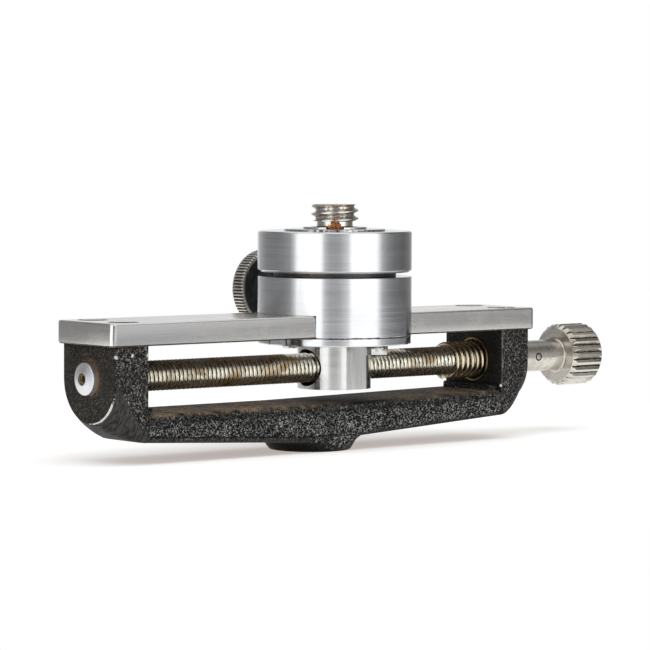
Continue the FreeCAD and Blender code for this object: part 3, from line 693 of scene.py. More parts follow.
@dataclass(frozen=True)
class RubbedBlack(Finish):
    """Satin black on a knurled knob, rubbed to bare metal where the piece is marked.

    Attributes:
        name: Name of the material.
        black: Colour of the blacking.
        greyer: Colour of its faded patches.
        bare: Colour of the metal under it.
        shine: Specular level of the blacking.
    """
    name: str
    shine: float = 0.5
    black: Colour = (0.02, 0.021, 0.023)
    greyer: Colour = (0.075, 0.077, 0.08)
    bare: Colour = (0.66, 0.62, 0.56)

    def build(self, kit: NodeKit) -> bpy.types.Material:
        """Work out the blacking's nodes."""
        place = kit.place()
        cloud = kit.noise(place, 0.5, 4.0, 0.6, 0.4)
        run = kit.add("UVMap", {}, uv_map="run")
        rings = kit.noise(kit.stretched(run, (9.0, 0.12, 1.0)), 1.0, 2.0)
        bare = kit.fade(kit.plus(kit.mark("bare"), kit.wander(2.2, 3.0, 0.6, 0.25)), 0.42, 0.6)
        colour = kit.layers(self.black, (kit.fade(cloud, 0.4, 0.75, 0.0, 0.5), self.greyer),
                            (bare, self.bare))
        rough = kit.minus(kit.fade(cloud, 0.3, 0.7, 0.38, 0.52), kit.times(bare, 0.1))
        return kit.dress({"Specular IOR Level": self.shine}, Base_Color=colour, Roughness=rough,
                         Metallic=bare, Normal=kit.bump(rings, 0.004))


@dataclass(frozen=True)
class Rust(Finish):
    """Crumbly orange rust.

    Attributes:
        name: Name of the material.
        dark: Colour in its hollows.
        light: Colour on its crumbs.
        oily: Colour of its greenish patches.
    """
    name: str
    dark: Colour = (0.07, 0.03, 0.012)
    light: Colour = (0.52, 0.2, 0.05)
    oily: Colour = (0.17, 0.15, 0.05)

    def build(self, kit: NodeKit) -> bpy.types.Material:
        """Work out the rust's nodes."""
        place = kit.place()
        crumbs = kit.noise(place, 2.4, 4.0, 0.7, 0.8)
        patchy = kit.fade(kit.noise(place, 1.4, 2.0), 0.58, 0.7, 0.0, 0.6)
        colour = kit.layers(self.dark, (kit.fade(crumbs, 0.36, 0.62), self.light),
                            (patchy, self.oily))
        return kit.dress({"Roughness": 0.85}, Base_Color=colour, Normal=kit.bump(crumbs, 0.25))


@dataclass(frozen=True)
class PaleFloor(Finish):
    """Pale table that stays white to the eye but for the object's shadow.

    Attributes:
        name: Name of the material.
        pale: Reflectance of the table.
        shaded: Part of the seen white that the light carries and a shadow takes away.
        glow: Part of the seen white that a shadow leaves.
    """
    name: str
    pale: float = 0.84
    shaded: Colour = (0.67, 0.72, 0.74)
    glow: Colour = (0.44, 0.395, 0.37)

    def build(self, kit: NodeKit) -> bpy.types.Material:
        """Work out the table's nodes."""
        grain = kit.noise(kit.place(), 0.4, 3.0)
        shade = kit.fade(grain, 0.3, 0.7, self.pale * 0.98, self.pale)
        table = kit.add("BsdfDiffuse", {"Color": shade})
        seen = kit.add("AddShader", {
            0: kit.add("BsdfDiffuse", {"Color": self.shaded}),
            1: kit.add("Emission", {"Color": self.glow, "Strength": 1.0})})
        straight = kit.rays("Camera", "Glossy", "Transmission")
        surface = kit.add("MixShader", {0: straight, 1: table, 2: seen})
        kit.tree.links.new(surface, kit.tree.nodes["Material Output"].inputs["Surface"])
        kit.tree.nodes.remove(kit.surface)
        return kit.made


SATIN_CHROME = Metal("satin_chrome", (0.70, 0.71, 0.73), rough=0.19, pull=0.85, grain=0.0012,
                     pitch=5.0, soil=(0.035, 0.022, 0.014), smear=0.12,
                     smear_tint=(0.50, 0.49, 0.47), scratches=0.75)
GROUND_STEEL = Metal("ground_steel", (0.39, 0.39, 0.395), rough=0.24, pull=0.5, grain=0.002,
                     pitch=4.5, run=60.0, soil=(0.07, 0.045, 0.025), smear=0.22,
                     smear_tint=(0.46, 0.43, 0.40), scratches=0.25)
TURNED_STEEL = Metal("turned_steel", (0.68, 0.675, 0.67), rough=0.2, pull=0.6, grain=0.002,
                     pitch=6.0, smear=0.2, scratches=0.2)
SCREW_STEEL = Metal("screw_steel", (0.56, 0.54, 0.51), rough=0.32, pull=0.2, smear=0.4,
                    smear_tint=(0.22, 0.17, 0.12), specks=0.6)
THREAD_STEEL = Metal("lead_screw_steel", (1.0, 0.97, 0.87), rough=0.16, pull=0.0, grain=0.003,
                     pitch=3.0, run=20.0, soil=(0.010, 0.008, 0.004), smear=0.75,
                     smear_tint=(0.46, 0.29, 0.10), scratches=0.0)
PIVOT_STEEL = Metal("oiled_pivot", (0.34, 0.22, 0.09), rough=0.3, pull=0.1,
                    soil=(0.006, 0.004, 0.002), smear=0.5, smear_tint=(0.12, 0.07, 0.03),
                    scratches=0.0)
STUD_STEEL = Metal("stud_steel", (0.76, 0.75, 0.72), rough=0.2, pull=0.1, grain=0.005, pitch=4.0,
                   run=30.0, soil=(0.24, 0.15, 0.07), smear=0.4, smear_tint=(0.36, 0.29, 0.21),
                   specks=0.5)
# A lighter copy of turned steel for the end bush: its extra lightness is painted light.
LIGHTENED_BUSH_STEEL = Metal("lightened_bush_steel", (0.88, 0.89, 0.92), rough=0.38, pull=0.1, smear=0.15,
                   scratches=0.2)
SPRING_STEEL = Metal("spring_wire", (0.84, 0.75, 0.57), rough=0.22, pull=0.0, grain=0.002,
                     pitch=4.0, run=12.0, soil=(0.012, 0.008, 0.004), smear=0.5,
                     smear_tint=(0.30, 0.19, 0.08), scratches=0.0)
NICKEL = Metal("nickel", (0.70, 0.665, 0.61), rough=0.2, pull=0.3, grain=0.003, pitch=6.0, run=60.0,
               soil=(0.03, 0.025, 0.014), smear=0.6, smear_tint=(0.38, 0.32, 0.25), specks=0.4)
BRONZE = Metal("bronze", (0.36, 0.25, 0.13), rough=0.34, pull=0.2, soil=(0.012, 0.008, 0.004),
               smear=0.7, smear_tint=(0.09, 0.055, 0.028), specks=0.5)
WASHER_STEEL = Metal("washer_steel", (0.11, 0.105, 0.10), rough=0.42, pull=0.2, grain=0.005,
                     smear=0.5, smear_tint=(0.20, 0.13, 0.06), specks=0.4)
ZINC_STEEL = Metal("zinc_steel", (0.60, 0.60, 0.58), rough=0.36, pull=0.2, smear=0.4, specks=0.5)
BRASS = Metal("brass", (0.72, 0.52, 0.22), rough=0.3, pull=0.2, smear=0.3,
              smear_tint=(0.36, 0.22, 0.08))
OILY_BORE = Metal("oily_bore", (0.045, 0.04, 0.032), rough=0.5, pull=0.1, smear=0.3,
                  smear_tint=(0.12, 0.09, 0.05))
CLAMP_BLACK = RubbedBlack("clamp_black")
BLUED_STEEL = RubbedBlack("blued_steel", shine=0.08, black=(0.035, 0.03, 0.026))
CRUST = Rust("rust_crust")
CASTING_PAINT = CrinklePaint("crinkle_paint", chips=(
    ((-53.6, -8.45, 20.75), 0.42), ((-49.9, -8.6, 20.9), 0.42), ((-46.1, -8.5, 21.0), 0.5),
    ((43.8, -8.45, 11.2), 0.34), ((42.4, -7.9, 10.9), 0.45), ((-50.8, -8.6, 12.2), 0.16)))


# ================================================================ screws with a slot
@dataclass
class SlottedHead:
    """A screw's head with a slot across its flat top, made from the slot's two lobes.

    Attributes:
        rows: (radius, height) of the side, from its foot to the rim of the top.
        slot_half: Half the slot's width.
        slot_depth: Depth of the slot.
        turn: Angle of the slot.
        upward: 1 for a head that looks up, -1 for one that looks down.
        arc_points: Points along the rim of a lobe.
        slot_points: Points across the slot.
    """
    rows: Array
    slot_half: float
    slot_depth: float
    turn: float
    upward: int = 1
    arc_points: int = 33
    slot_points: int = 5

    def patches(self, centre: Sequence[float]) -> list[Patch]:
        """Side, top lobes, slot walls and slot floor.

        The rim is an arc on each side of the slot and a straight chord across each of its
        ends. A lobe goes in straight lines from its arc to the slot's edge.

        Args:
            centre: Where the head's height 0 is.

        Returns:
            The head's patches.
        """
        radius, top = self.rows[-1]
        floor = top - self.slot_depth
        half_angle = math.acos(self.slot_half / radius)
        arc = np.linspace(-half_angle, half_angle, self.arc_points)
        chord = np.linspace(self.slot_half, -self.slot_half, self.slot_points)[1:-1]
        right = np.stack([radius * np.cos(arc), radius * np.sin(arc)], axis=1)
        across = np.stack([chord, np.full(len(chord), radius * math.sin(half_angle))], axis=1)
        outline = np.concatenate([right, across, -right, -across])
        sunk = np.tile(np.repeat([False, True], (len(arc), len(chord))), 2)
        level = np.where(sunk, np.minimum(self.rows[:, 1:], floor), self.rows[:, 1:])
        flat = outline * (self.rows[:, :1, None] / radius)
        side = Patch(np.concatenate([flat, level[..., None]], axis=2), close_columns=True)
        # Painted shade: the side's foot is darkened as a shadow line where the head meets the part
        # under it.
        side.marks = {"soil": np.array([0.9, 0.7] + [0.0] * (len(self.rows) - 2))[:, None]}
        made = [side, fan(side.points[0])]
        for sign in (1, -1):
            rim = np.insert(sign * right, 2, top, axis=1)
            edge = np.where([True, False, False], sign * self.slot_half, rim)
            # Painted shade in the slot: its walls here and its floor below are darkened.
            made += [between(rim, edge, 5),
                     between(edge, edge * (1, 1, 0) + (0, 0, floor), 3, marks={"soil": 0.5})]
        wall = made[3].points[-1]
        made.append(between(wall, wall * (-1, 1, 1), self.slot_points, marks={"soil": 0.75}))
        cos, sin = math.cos(self.turn), math.sin(self.turn)
        spin = np.array([[cos, -sin, 0], [sin, cos, 0], [0, 0, self.upward]])
        for patch in made:
            patch.points = patch.points @ spin.T + np.array(centre, float)
        return made


# ================================================================ yoke
@dataclass
class Yoke:
    """The cast yoke with its bearings and the bush in its foot."""
    half_width: float = 8.6
    arm_belly: float = -5.9
    arm_lows: tuple[float, float, float] = (4.18, 2.08, 5.0)
    arm_tops: tuple[float, float, float] = (9.5, 9.5, 10.2)
    arm_top_edge: float = 1.2
    arm_low_edge: float = 1.0
    rail_bottom: float = 22.65
    screw_height: float = 16.26
    lug_thickness: float = 7.7
    left_outer: float = -53.75
    right_outer: float = 51.45
    face_lows: tuple[float, float] = (7.55, 7.0)
    low_swells: tuple[float, float] = (1.92, 3.5)
    seam_swells: tuple[float, float] = (1.35, 1.75)
    far_corners: tuple[float, float] = (3.0, 1.2)
    far_faces: tuple[float, float] = (8.1, 1.2)
    far_swell: float = 0.34
    far_corner_run: float = 9.0
    rim_edge: float = 0.28
    mouth_edge: float = 0.22
    foot_radius: float = 8.1
    foot_flare: float = 2.2
    foot_waist: tuple[float, float] = (9.3, 2.2)
    foot_edge: float = 0.6
    bush_radius: float = 6.2
    ledge_length: float = 2.0
    ledge_height: float = 1.2
    flat_columns: int = 12
    side_columns: int = 20
    corner_columns: int = 24
    face_rows: int = 6
    rim_rows: int = 5
    skin_rows: int = 14
    left_bores: tuple[float, float, float] = (3.13, 3.25, 3.5)
    right_bores: tuple[float, float, float] = (4.0, 4.6, 6.1)
    end_bush: Outline = ((1.21, -50.25), (3.13, -50.25), (3.13, -54.98, 0.16), (1.33, -55.5, 0.06),
                         (1.21, -55.5))
    drive_bush: Outline = ((2.56, 51.45), (2.56, 44.75), (4.2, 44.75, 0.1), (4.2, 43.55, 0.1),
                           (4.6, 43.55, 0.12), (4.6, 45.15), (4.0, 45.15), (4.0, 51.45))
    thrust_washer: Outline = ((2.56, 51.45), (4.6, 51.45, 0.08), (4.6, 51.95, 0.1), (2.56, 51.95))
    tripod_bush: Outline = ((3.97, 0.5), (4.6, 0), (6.2, 0, 0.1), (6.2, 7.2), (3.97, 7.2),
                            (3.97, 7.0))
    tripod_thread: tuple[float, ...] = (0.5, 7.0, 1.5875, 4.75, 3.97, 0.0)

    @property
    def left_inner(self) -> float:
        """Inner face of the left lug."""
        return self.left_outer + self.lug_thickness

    @property
    def right_inner(self) -> float:
        """Inner face of the right lug."""
        return self.right_outer - self.lug_thickness

    def lug_outline(self, low: Array, near: Array, far: Array, inset: Array | float) -> Array:
        """Section of a lug: flat top, straight sides, and a bottom with two rounded corners.

        Args:
            low: Height of the bottom in each row.
            near: Radius of the lower corner on the -Y side in each row.
            far: Radius of the lower corner on the other side.
            inset: How far the whole outline is drawn in.

        Returns:
            Points (y, z), shaped rows by columns by 2.
        """
        low, near, far = (np.atleast_1d(value)[:, None] for value in (low, near, far))
        low, near, far = low + inset, np.maximum(near - inset, 0.02), np.maximum(far - inset, 0.02)
        half, top = self.half_width - inset, self.rail_bottom - inset
        side = np.linspace(0, 1, self.side_columns + 1)[:-1]
        arc = np.linspace(0, math.pi / 2, self.corner_columns + 1)[:-1]
        even = np.linspace(-1, 1, self.flat_columns + 1)[:-1]
        ones = np.ones_like(low)
        upright, level = ones * np.ones_like(side), ones * np.ones_like(even)
        y = [-half * even * ones, -half * upright, near - half - near * np.cos(arc),
             near - half + (2 * half - near - far) * (even + 1) / 2,
             half - far + far * np.sin(arc), half * upright]
        z = [top * level, top + (low + near - top) * side, low + near - near * np.sin(arc),
             low * level, low + far - far * np.cos(arc), low + far + (top - low - far) * side]
        return np.stack([np.concatenate(y, axis=1), np.concatenate(z, axis=1)], axis=2)

    def lug(self, side: int, outer_bore: float, inner_bore: float, step: float) -> Patch:
        """One lug as a closed ring of rows: bore, outer face, rim, skin, inner face, bore.

        At share t of the thickness inwards the bottom stands at end + (face - end) * (1 - t) to
        the power of the low swell, and the corners begin at a seam that falls from the screw's
        height in the same way with the seam swell. The rims are quarter rounds.

        Args:
            side: -1 for the left lug, 1 for the right one.
            outer_bore: Radius of the bore at the outer face.
            inner_bore: Radius at the inner face.
            step: Depth from the outer face at which the bore changes.

        Returns:
            The lug's patch.
        """
        outer, end = (self.left_outer, 0) if side < 0 else (self.right_outer, 2)
        arm_low, arm_top = self.arm_lows[end], self.arm_tops[end]
        face_low, low_swell, seam_swell, far_end, far_face = (pair[end // 2] for pair in (
            self.face_lows, self.low_swells, self.seam_swells, self.far_corners, self.far_faces))
        seam_end = arm_low + self.arm_low_edge

        def skin(share: Array, inset: float = 0.0) -> Array:
            """Outline at shares of the thickness."""
            low = arm_low + (face_low - arm_low) * (1 - share) ** low_swell
            seam = seam_end + (self.screw_height - seam_end) * (1 - share) ** seam_swell
            near = np.minimum(seam - low, self.half_width - 0.05)
            far = far_end + (far_face - far_end) * (1 - share) ** self.far_swell
            return self.lug_outline(low, near, np.maximum(near, far), inset)

        def circle(outline: Array, radius: float) -> Array:
            """Points of a bore in the directions of an outline's points."""
            middle = (0, self.screw_height)
            way = outline - middle
            return middle + radius * way / np.linalg.norm(way, axis=1, keepdims=True)

        quarter = np.linspace(0, math.pi / 2, self.rim_rows + 1)
        across = np.linspace(0, 1, self.face_rows + 1)
        edge, outside, inside = self.rim_edge, np.zeros(1), np.ones(1)
        face = skin(outside, edge)[0]
        hole = circle(face, outer_bore)
        rows = [(0.0, hole + (face - hole) * share) for share in across[:-1]]
        rows += [(edge * (1 - math.cos(angle)), skin(outside, edge * (1 - math.sin(angle)))[0])
                 for angle in quarter[:-1]]
        shares = np.concatenate([np.linspace(edge / self.lug_thickness, 0.3, self.skin_rows),
                                 np.linspace(0.34, 0.96, self.skin_rows)])
        first = shares[0]
        rows += [(share * self.lug_thickness, outline)
                 for share, outline in zip(shares, skin((shares - first) / (1 - first)))]
        full, drawn = skin(inside)[0], skin(inside, self.mouth_edge)[0]
        shown = np.clip(full[:, 1:] - arm_top, 0, 1)
        rows += [(self.lug_thickness - self.mouth_edge * (1 - math.sin(angle)),
                  full + (drawn - full) * shown * (1 - math.cos(angle))) for angle in quarter]
        inner_rim = rows[-1][1]
        hole = circle(inner_rim, inner_bore)
        rows += [(self.lug_thickness, inner_rim + (hole - inner_rim) * share)
                 for share in across[1:]]
        rows += [(step, hole), (step, circle(inner_rim, outer_bore))]
        depths = np.array([depth for depth, _ in rows])[:, None]
        outlines = np.stack([outline for _, outline in rows])
        x = outer - side * depths * np.ones(outlines.shape[1])
        points = np.concatenate([x[..., None], outlines], axis=2)
        return Patch(points, close_rows=True, close_columns=True,
                     marks=self.lug_marks(points, depths, side))

    def lug_marks(self, points: Array, depths: Array, side: int) -> dict[str, Array | float]:
        """Where a lug is smooth, worn, rusty and dusty, and where it has painted sheen.

        Args:
            points: Points of the lug's patch.
            depths: Depth of each row from the outer face.
            side: -1 for the left lug, 1 for the right one.

        Returns:
            The patch's marks.
        """
        y, z = points[..., 1], points[..., 2]
        row, column = np.arange(len(points))[:, None], np.arange(points.shape[1])[None]
        start = self.flat_columns + self.side_columns
        end = start + 2 * self.corner_columns + self.flat_columns
        skin_end = self.face_rows + self.rim_rows + 2 * self.skin_rows - 1
        swept = ((column >= start) & (column < end)) * (depths > self.rim_edge) * (side < 0)
        inner = row > skin_end + 1
        rim = (row > self.face_rows) & (row <= self.face_rows + self.rim_rows)
        reach = np.hypot(y, z - self.screw_height)
        corner = hump(np.arctan2(z - self.screw_height, -y), -0.93, 0.68) * (y < 1)
        uneven = np.clip(0.45 - 0.2 * y + 0.06 * (z - self.screw_height), 0, 1)
        stained = hump(reach, 3.35, 0.4) * (row <= self.face_rows) * uneven
        # The pale mark is painted sheen on the left lug's swept underside and a painted highlight
        # along the right lug's inner edge.
        mouth = (row == skin_end) & (y < 0) & (z > self.arm_tops[1] + 1.5)
        return {"smooth": np.maximum(swept, inner) * 1.0, "worn": rim * 0.97 * corner * (side < 0),
                "rusty": stained * (side < 0), "dusty": 1.0,
                "fine": np.where(row <= self.face_rows + 1, 1.0, 0.5 * (y < 0)),
                "pale": swept * 1.0 + mouth * (4.0 if side > 0 else 0.0)}

    def arm(self) -> list[Patch]:
        """Bowed arm: its section's lower part follows the underside, two straight slopes.

        The far lower corner starts at the left lug with that lug's radius r and falls to the
        arm's over a short run. A quarter circle of radius r is the arm's own one drawn in by
        (r - own) towards the arm's middle, point by point with the circle's direction.

        Returns:
            The arm's skin and its two end caps, which lie against the lugs.
        """
        half, edge = self.half_width, self.arm_low_edge
        low, top = self.arm_lows[1], self.arm_tops[1]
        side = [(-half, top - 1.6), (-half, top - 2.0), (-half, top - 2.9), (-half, low + 1.6),
                (-half, low + 1.35), (-half, low + 1.15)]
        section = soften([(half, top, self.arm_top_edge), (-half, top, self.arm_top_edge), *side,
                          (-half, low, edge), (half, low, edge)], closed=True)
        x = np.concatenate([np.linspace(self.left_inner, self.arm_belly, 36)[:-1],
                            np.linspace(self.arm_belly, self.right_inner, 46)])
        places = (self.left_inner, self.arm_belly, self.right_inner)
        lows, tops = (np.interp(x, places, heights)[:, None]
                      for heights in (self.arm_lows, self.arm_tops))
        lower = section[:, 1] < (top + low) / 2
        y = section[:, 0] * np.ones((len(x), 1))
        z = section[:, 1] + np.where(lower, lows - low, tops - top)
        fall = np.clip(1 - (x - self.left_inner) / self.far_corner_run, 0, 1)[:, None]
        grown = (self.far_corners[0] - edge) * fall
        out_y, out_z = (np.clip(value / edge, 0, 1) for value in (y - half + edge, lows + edge - z))
        y = y - grown * (1 - out_y) * lower * (y > 0) * (out_z > 0)
        z = z + grown * (1 - out_z) * lower * (section[:, 0] > half - edge - 0.1)
        points = np.stack([x[:, None] * np.ones(len(section)), y, z], axis=2)
        left = np.clip((8 - x[:, None]) / 10, 0, 1)
        # Painted sheen: the pale band along the rounded lower edge; under_top smooths the band
        # under the top edge, leaving its painted glints out.
        band = np.clip(1.9 - (z - lows) / 0.6, 0, 1) * (0.35 + 0.65 * left)
        crease = hump(z - lows, 1.12, 0.2) * left * 0.95
        under_top = 0.9 * hump(tops - z, 1.3, 0.65) * (y < 0)
        dusty = 0.95 - 0.95 * hump(x[:, None], 7.0, 9.0) - 0.25 * (x[:, None] > 10)
        marks = {"smooth": np.maximum(band, under_top), "pale": band, "crease": crease,
                 "dusty": np.clip(dusty, 0, 1)}
        return [Patch(points, close_columns=True, marks=marks), fan(points[0]), fan(points[-1])]

    def foot(self) -> list[Patch]:
        """Round foot, turned and then pressed flat at the arm's sides: y is cut off there."""
        reach = self.foot_radius + self.foot_flare
        seam = float(np.interp(reach, (self.arm_belly, self.right_inner), self.arm_lows[1:]))
        wide, high = reach - 0.3, 5.5
        profile = soften([(self.bush_radius, 0), (self.foot_radius, 0, self.foot_edge),
                          (*self.foot_waist, 1.2), (reach, seam), (wide, seam + 0.4), (wide, high),
                          (self.bush_radius, high)], closed=True)
        ring = revolve(profile, Axis.Z, (0, 0, 0), 192, close_rows=True)
        side = self.half_width - 0.3 * (ring.points[..., 2] > seam + 0.01)
        under = np.interp(ring.points[..., 0], (self.left_inner, self.arm_belly, self.right_inner),
                          self.arm_lows)
        ring.points[..., 2] *= np.where(ring.points[..., 2] <= seam + 0.01, under / seam, 1.0)
        ring.points[..., 1] = np.clip(ring.points[..., 1], -side, side)
        left = np.clip(-ring.points[..., 0] / 5, 0, 1)
        rubbed = left * (profile[:, 1:] < 2.6) + hump(profile[:, 1:], 0, 0.5)
        ring.marks = {"smooth": np.clip(rubbed, 0, 1)}
        return [ring]

    def ledge(self, side: int) -> list[Patch]:
        """Low rounded ledge at the foot of a lug: rings of a rounded block, closed on top."""
        inner, arm_top = ((self.left_inner, self.arm_tops[0]) if side < 0
                          else (self.right_inner, self.arm_tops[2]))
        tip, back = inner - side * self.ledge_length, inner + side * 0.3
        half = self.half_width - self.arm_top_edge
        plan = soften([(back, -half), (tip, -half, 0.5), (tip, half, 0.5), (back, half)],
                      closed=True)
        middle = plan.mean(axis=0)
        top = arm_top + self.ledge_height
        levels = [(0.0, arm_top - 2), (0.0, top - 0.4), (0.06, top - 0.2), (0.17, top - 0.07),
                  (0.34, top)]
        size = np.abs(plan - middle).max(axis=0)
        rings = np.stack([np.insert(middle + (plan - middle) * (1 - inset / size), 2, level, axis=1)
                          for inset, level in levels])
        smooth = {"smooth": 0.95}
        return [Patch(rings, close_columns=True, marks=smooth), fan(rings[0]),
                fan(rings[-1], 4, marks=smooth)]

    def build(self) -> None:
        """Make the casting and the turned pieces pressed into it."""
        patches = [self.lug(-1, *self.left_bores), self.lug(1, *self.right_bores), *self.arm(),
                   *self.foot(), *self.ledge(-1), *self.ledge(1)]
        make_piece("yoke_skin", patches, [CASTING_PAINT], "yoke", ["yoke_casting"])
        self.build_bushes()
        self.build_tripod_bush()

    def build_bushes(self) -> None:
        """Make the end bush, the drive bush and the thrust washer."""
        line = Axis.X, (0, 0, self.screw_height)
        end, cup, washer = (soften(outline, closed=True) for outline in (
            self.end_bush, self.drive_bush, self.thrust_washer))
        radius, height = end[:, :1], end[:, 1:]
        # Soil where the bush leaves the lug face, uneven round it; the bore darkens inwards as
        # painted shade in the hole.
        soil = (hump(height, -53.6, 0.45) * 0.62 + 0.12 * np.sin(ring_angles(128))
                + (radius < 1.25) * (height > -55.45) * 0.8)
        turned_piece("end_bush_turned", end, line, LIGHTENED_BUSH_STEEL, "yoke", "end_bush", "turned_steel",
                     soil=np.clip(soil, 0, 1))
        # Painted shade: inside the cup, beyond its rim, the bush is darkened.
        turned_piece("drive_bush_turned", cup, line, BRONZE, "yoke", "drive_bush", "bronze",
                     soil=0.62 * (cup[:, 1:] > 43.9))
        turned_piece("thrust_washer_turned", washer, line, BRONZE, "yoke", "thrust_washer",
                     "bronze")

    def build_tripod_bush(self) -> None:
        """Make the tripod bush: its bore is a thread's groove seen from inside."""
        radii, heights, angles, depth = screw_thread(*self.tripod_thread, 96)
        bore = lathe(radii, heights, angles, Axis.Z, (0, 0, 0), close_columns=False,
                     marks={"soil": (1 - depth) * 0.5})
        lead = revolve(soften(self.tripod_bush), Axis.Z, (0, 0, 0), 96)
        make_piece("tripod_bush_tapped", [bore, lead], [ZINC_STEEL], "yoke", ["tripod_bush"])


# ================================================================ rail
@dataclass
class Rail:
    """The flat bar and the four countersunk screws that hold it."""
    top: float = 27.10
    screw_x: tuple[float, float] = (-49.35, 47.05)
    screw_y: float = 5.0
    head_radius: float = 3.04
    head_sunk: float = 0.09
    screw_turns: tuple[float, ...] = (0.35, 1.1, 2.0, 0.8)
    shine_reach: float = 54.0
    shines: tuple[float, float, float] = (0.85, 0.78, 0.27)

    @staticmethod
    def run(points: Array, normals: Array) -> Array:
        """UV of the ground marks: V along the bar, or along Y on its ends, U across them."""
        end = np.abs(normals[:, 0]) > FACING
        flat = np.abs(normals[:, 2]) > FACING
        u = np.where(flat, points[:, 1], points[:, 2])
        return np.stack([u, np.where(end, points[:, 1], points[:, 0])], axis=1)

    @staticmethod
    def darkening(points: Array, normals: Array) -> Array:
        """Darker on the bar's underside, the faces that look down."""
        return 0.8 * (normals[:, 2] < -FACING)

    def shine(self, points: Array, normals: Array) -> Array:
        """How much lighter the bar's faces are painted: painted sheen by each face's direction.

        Args:
            points: Corners of the faces in millimetres.
            normals: Normal of the face at each corner.

        Returns:
            Share of the light tint: whole on the left end, on the front growing to the right,
            and one share each for the top, the front and the other two sides.
        """
        x, y, z = normals.T
        top, front, others = self.shines
        along = np.clip((points[:, 0] + self.shine_reach) / (2 * self.shine_reach), 0.0, 1.0)
        return (top * (z > FACING) + (x < -FACING) + front * along * (y < -FACING)
                + others * ((y > FACING) | (x > FACING)))

    def build(self) -> None:
        """Make the bar and its screws."""
        # Painted sheen lightens the bar's faces by their direction.
        from_cad("rail_ground", "rail_bar", self.run, GROUND_STEEL, "yoke", "ground_steel", 0.05,
                 soil=self.darkening, bright=self.shine)
        rim = self.head_radius
        rows = np.array([(1.7, -2.2), (1.7, -1.5), (rim, -0.12), (rim, -0.04), (rim - 0.05, 0.0)])
        places = [(x, y, self.top - self.head_sunk)
                  for x in self.screw_x for y in (-self.screw_y, self.screw_y)]
        patches = []
        for place, turn in zip(places, self.screw_turns):
            patches += SlottedHead(rows, 0.4, 0.75, turn).patches(place)
        make_piece("rail_screw_heads", patches, [BLUED_STEEL], "yoke", ["rail_screws"])


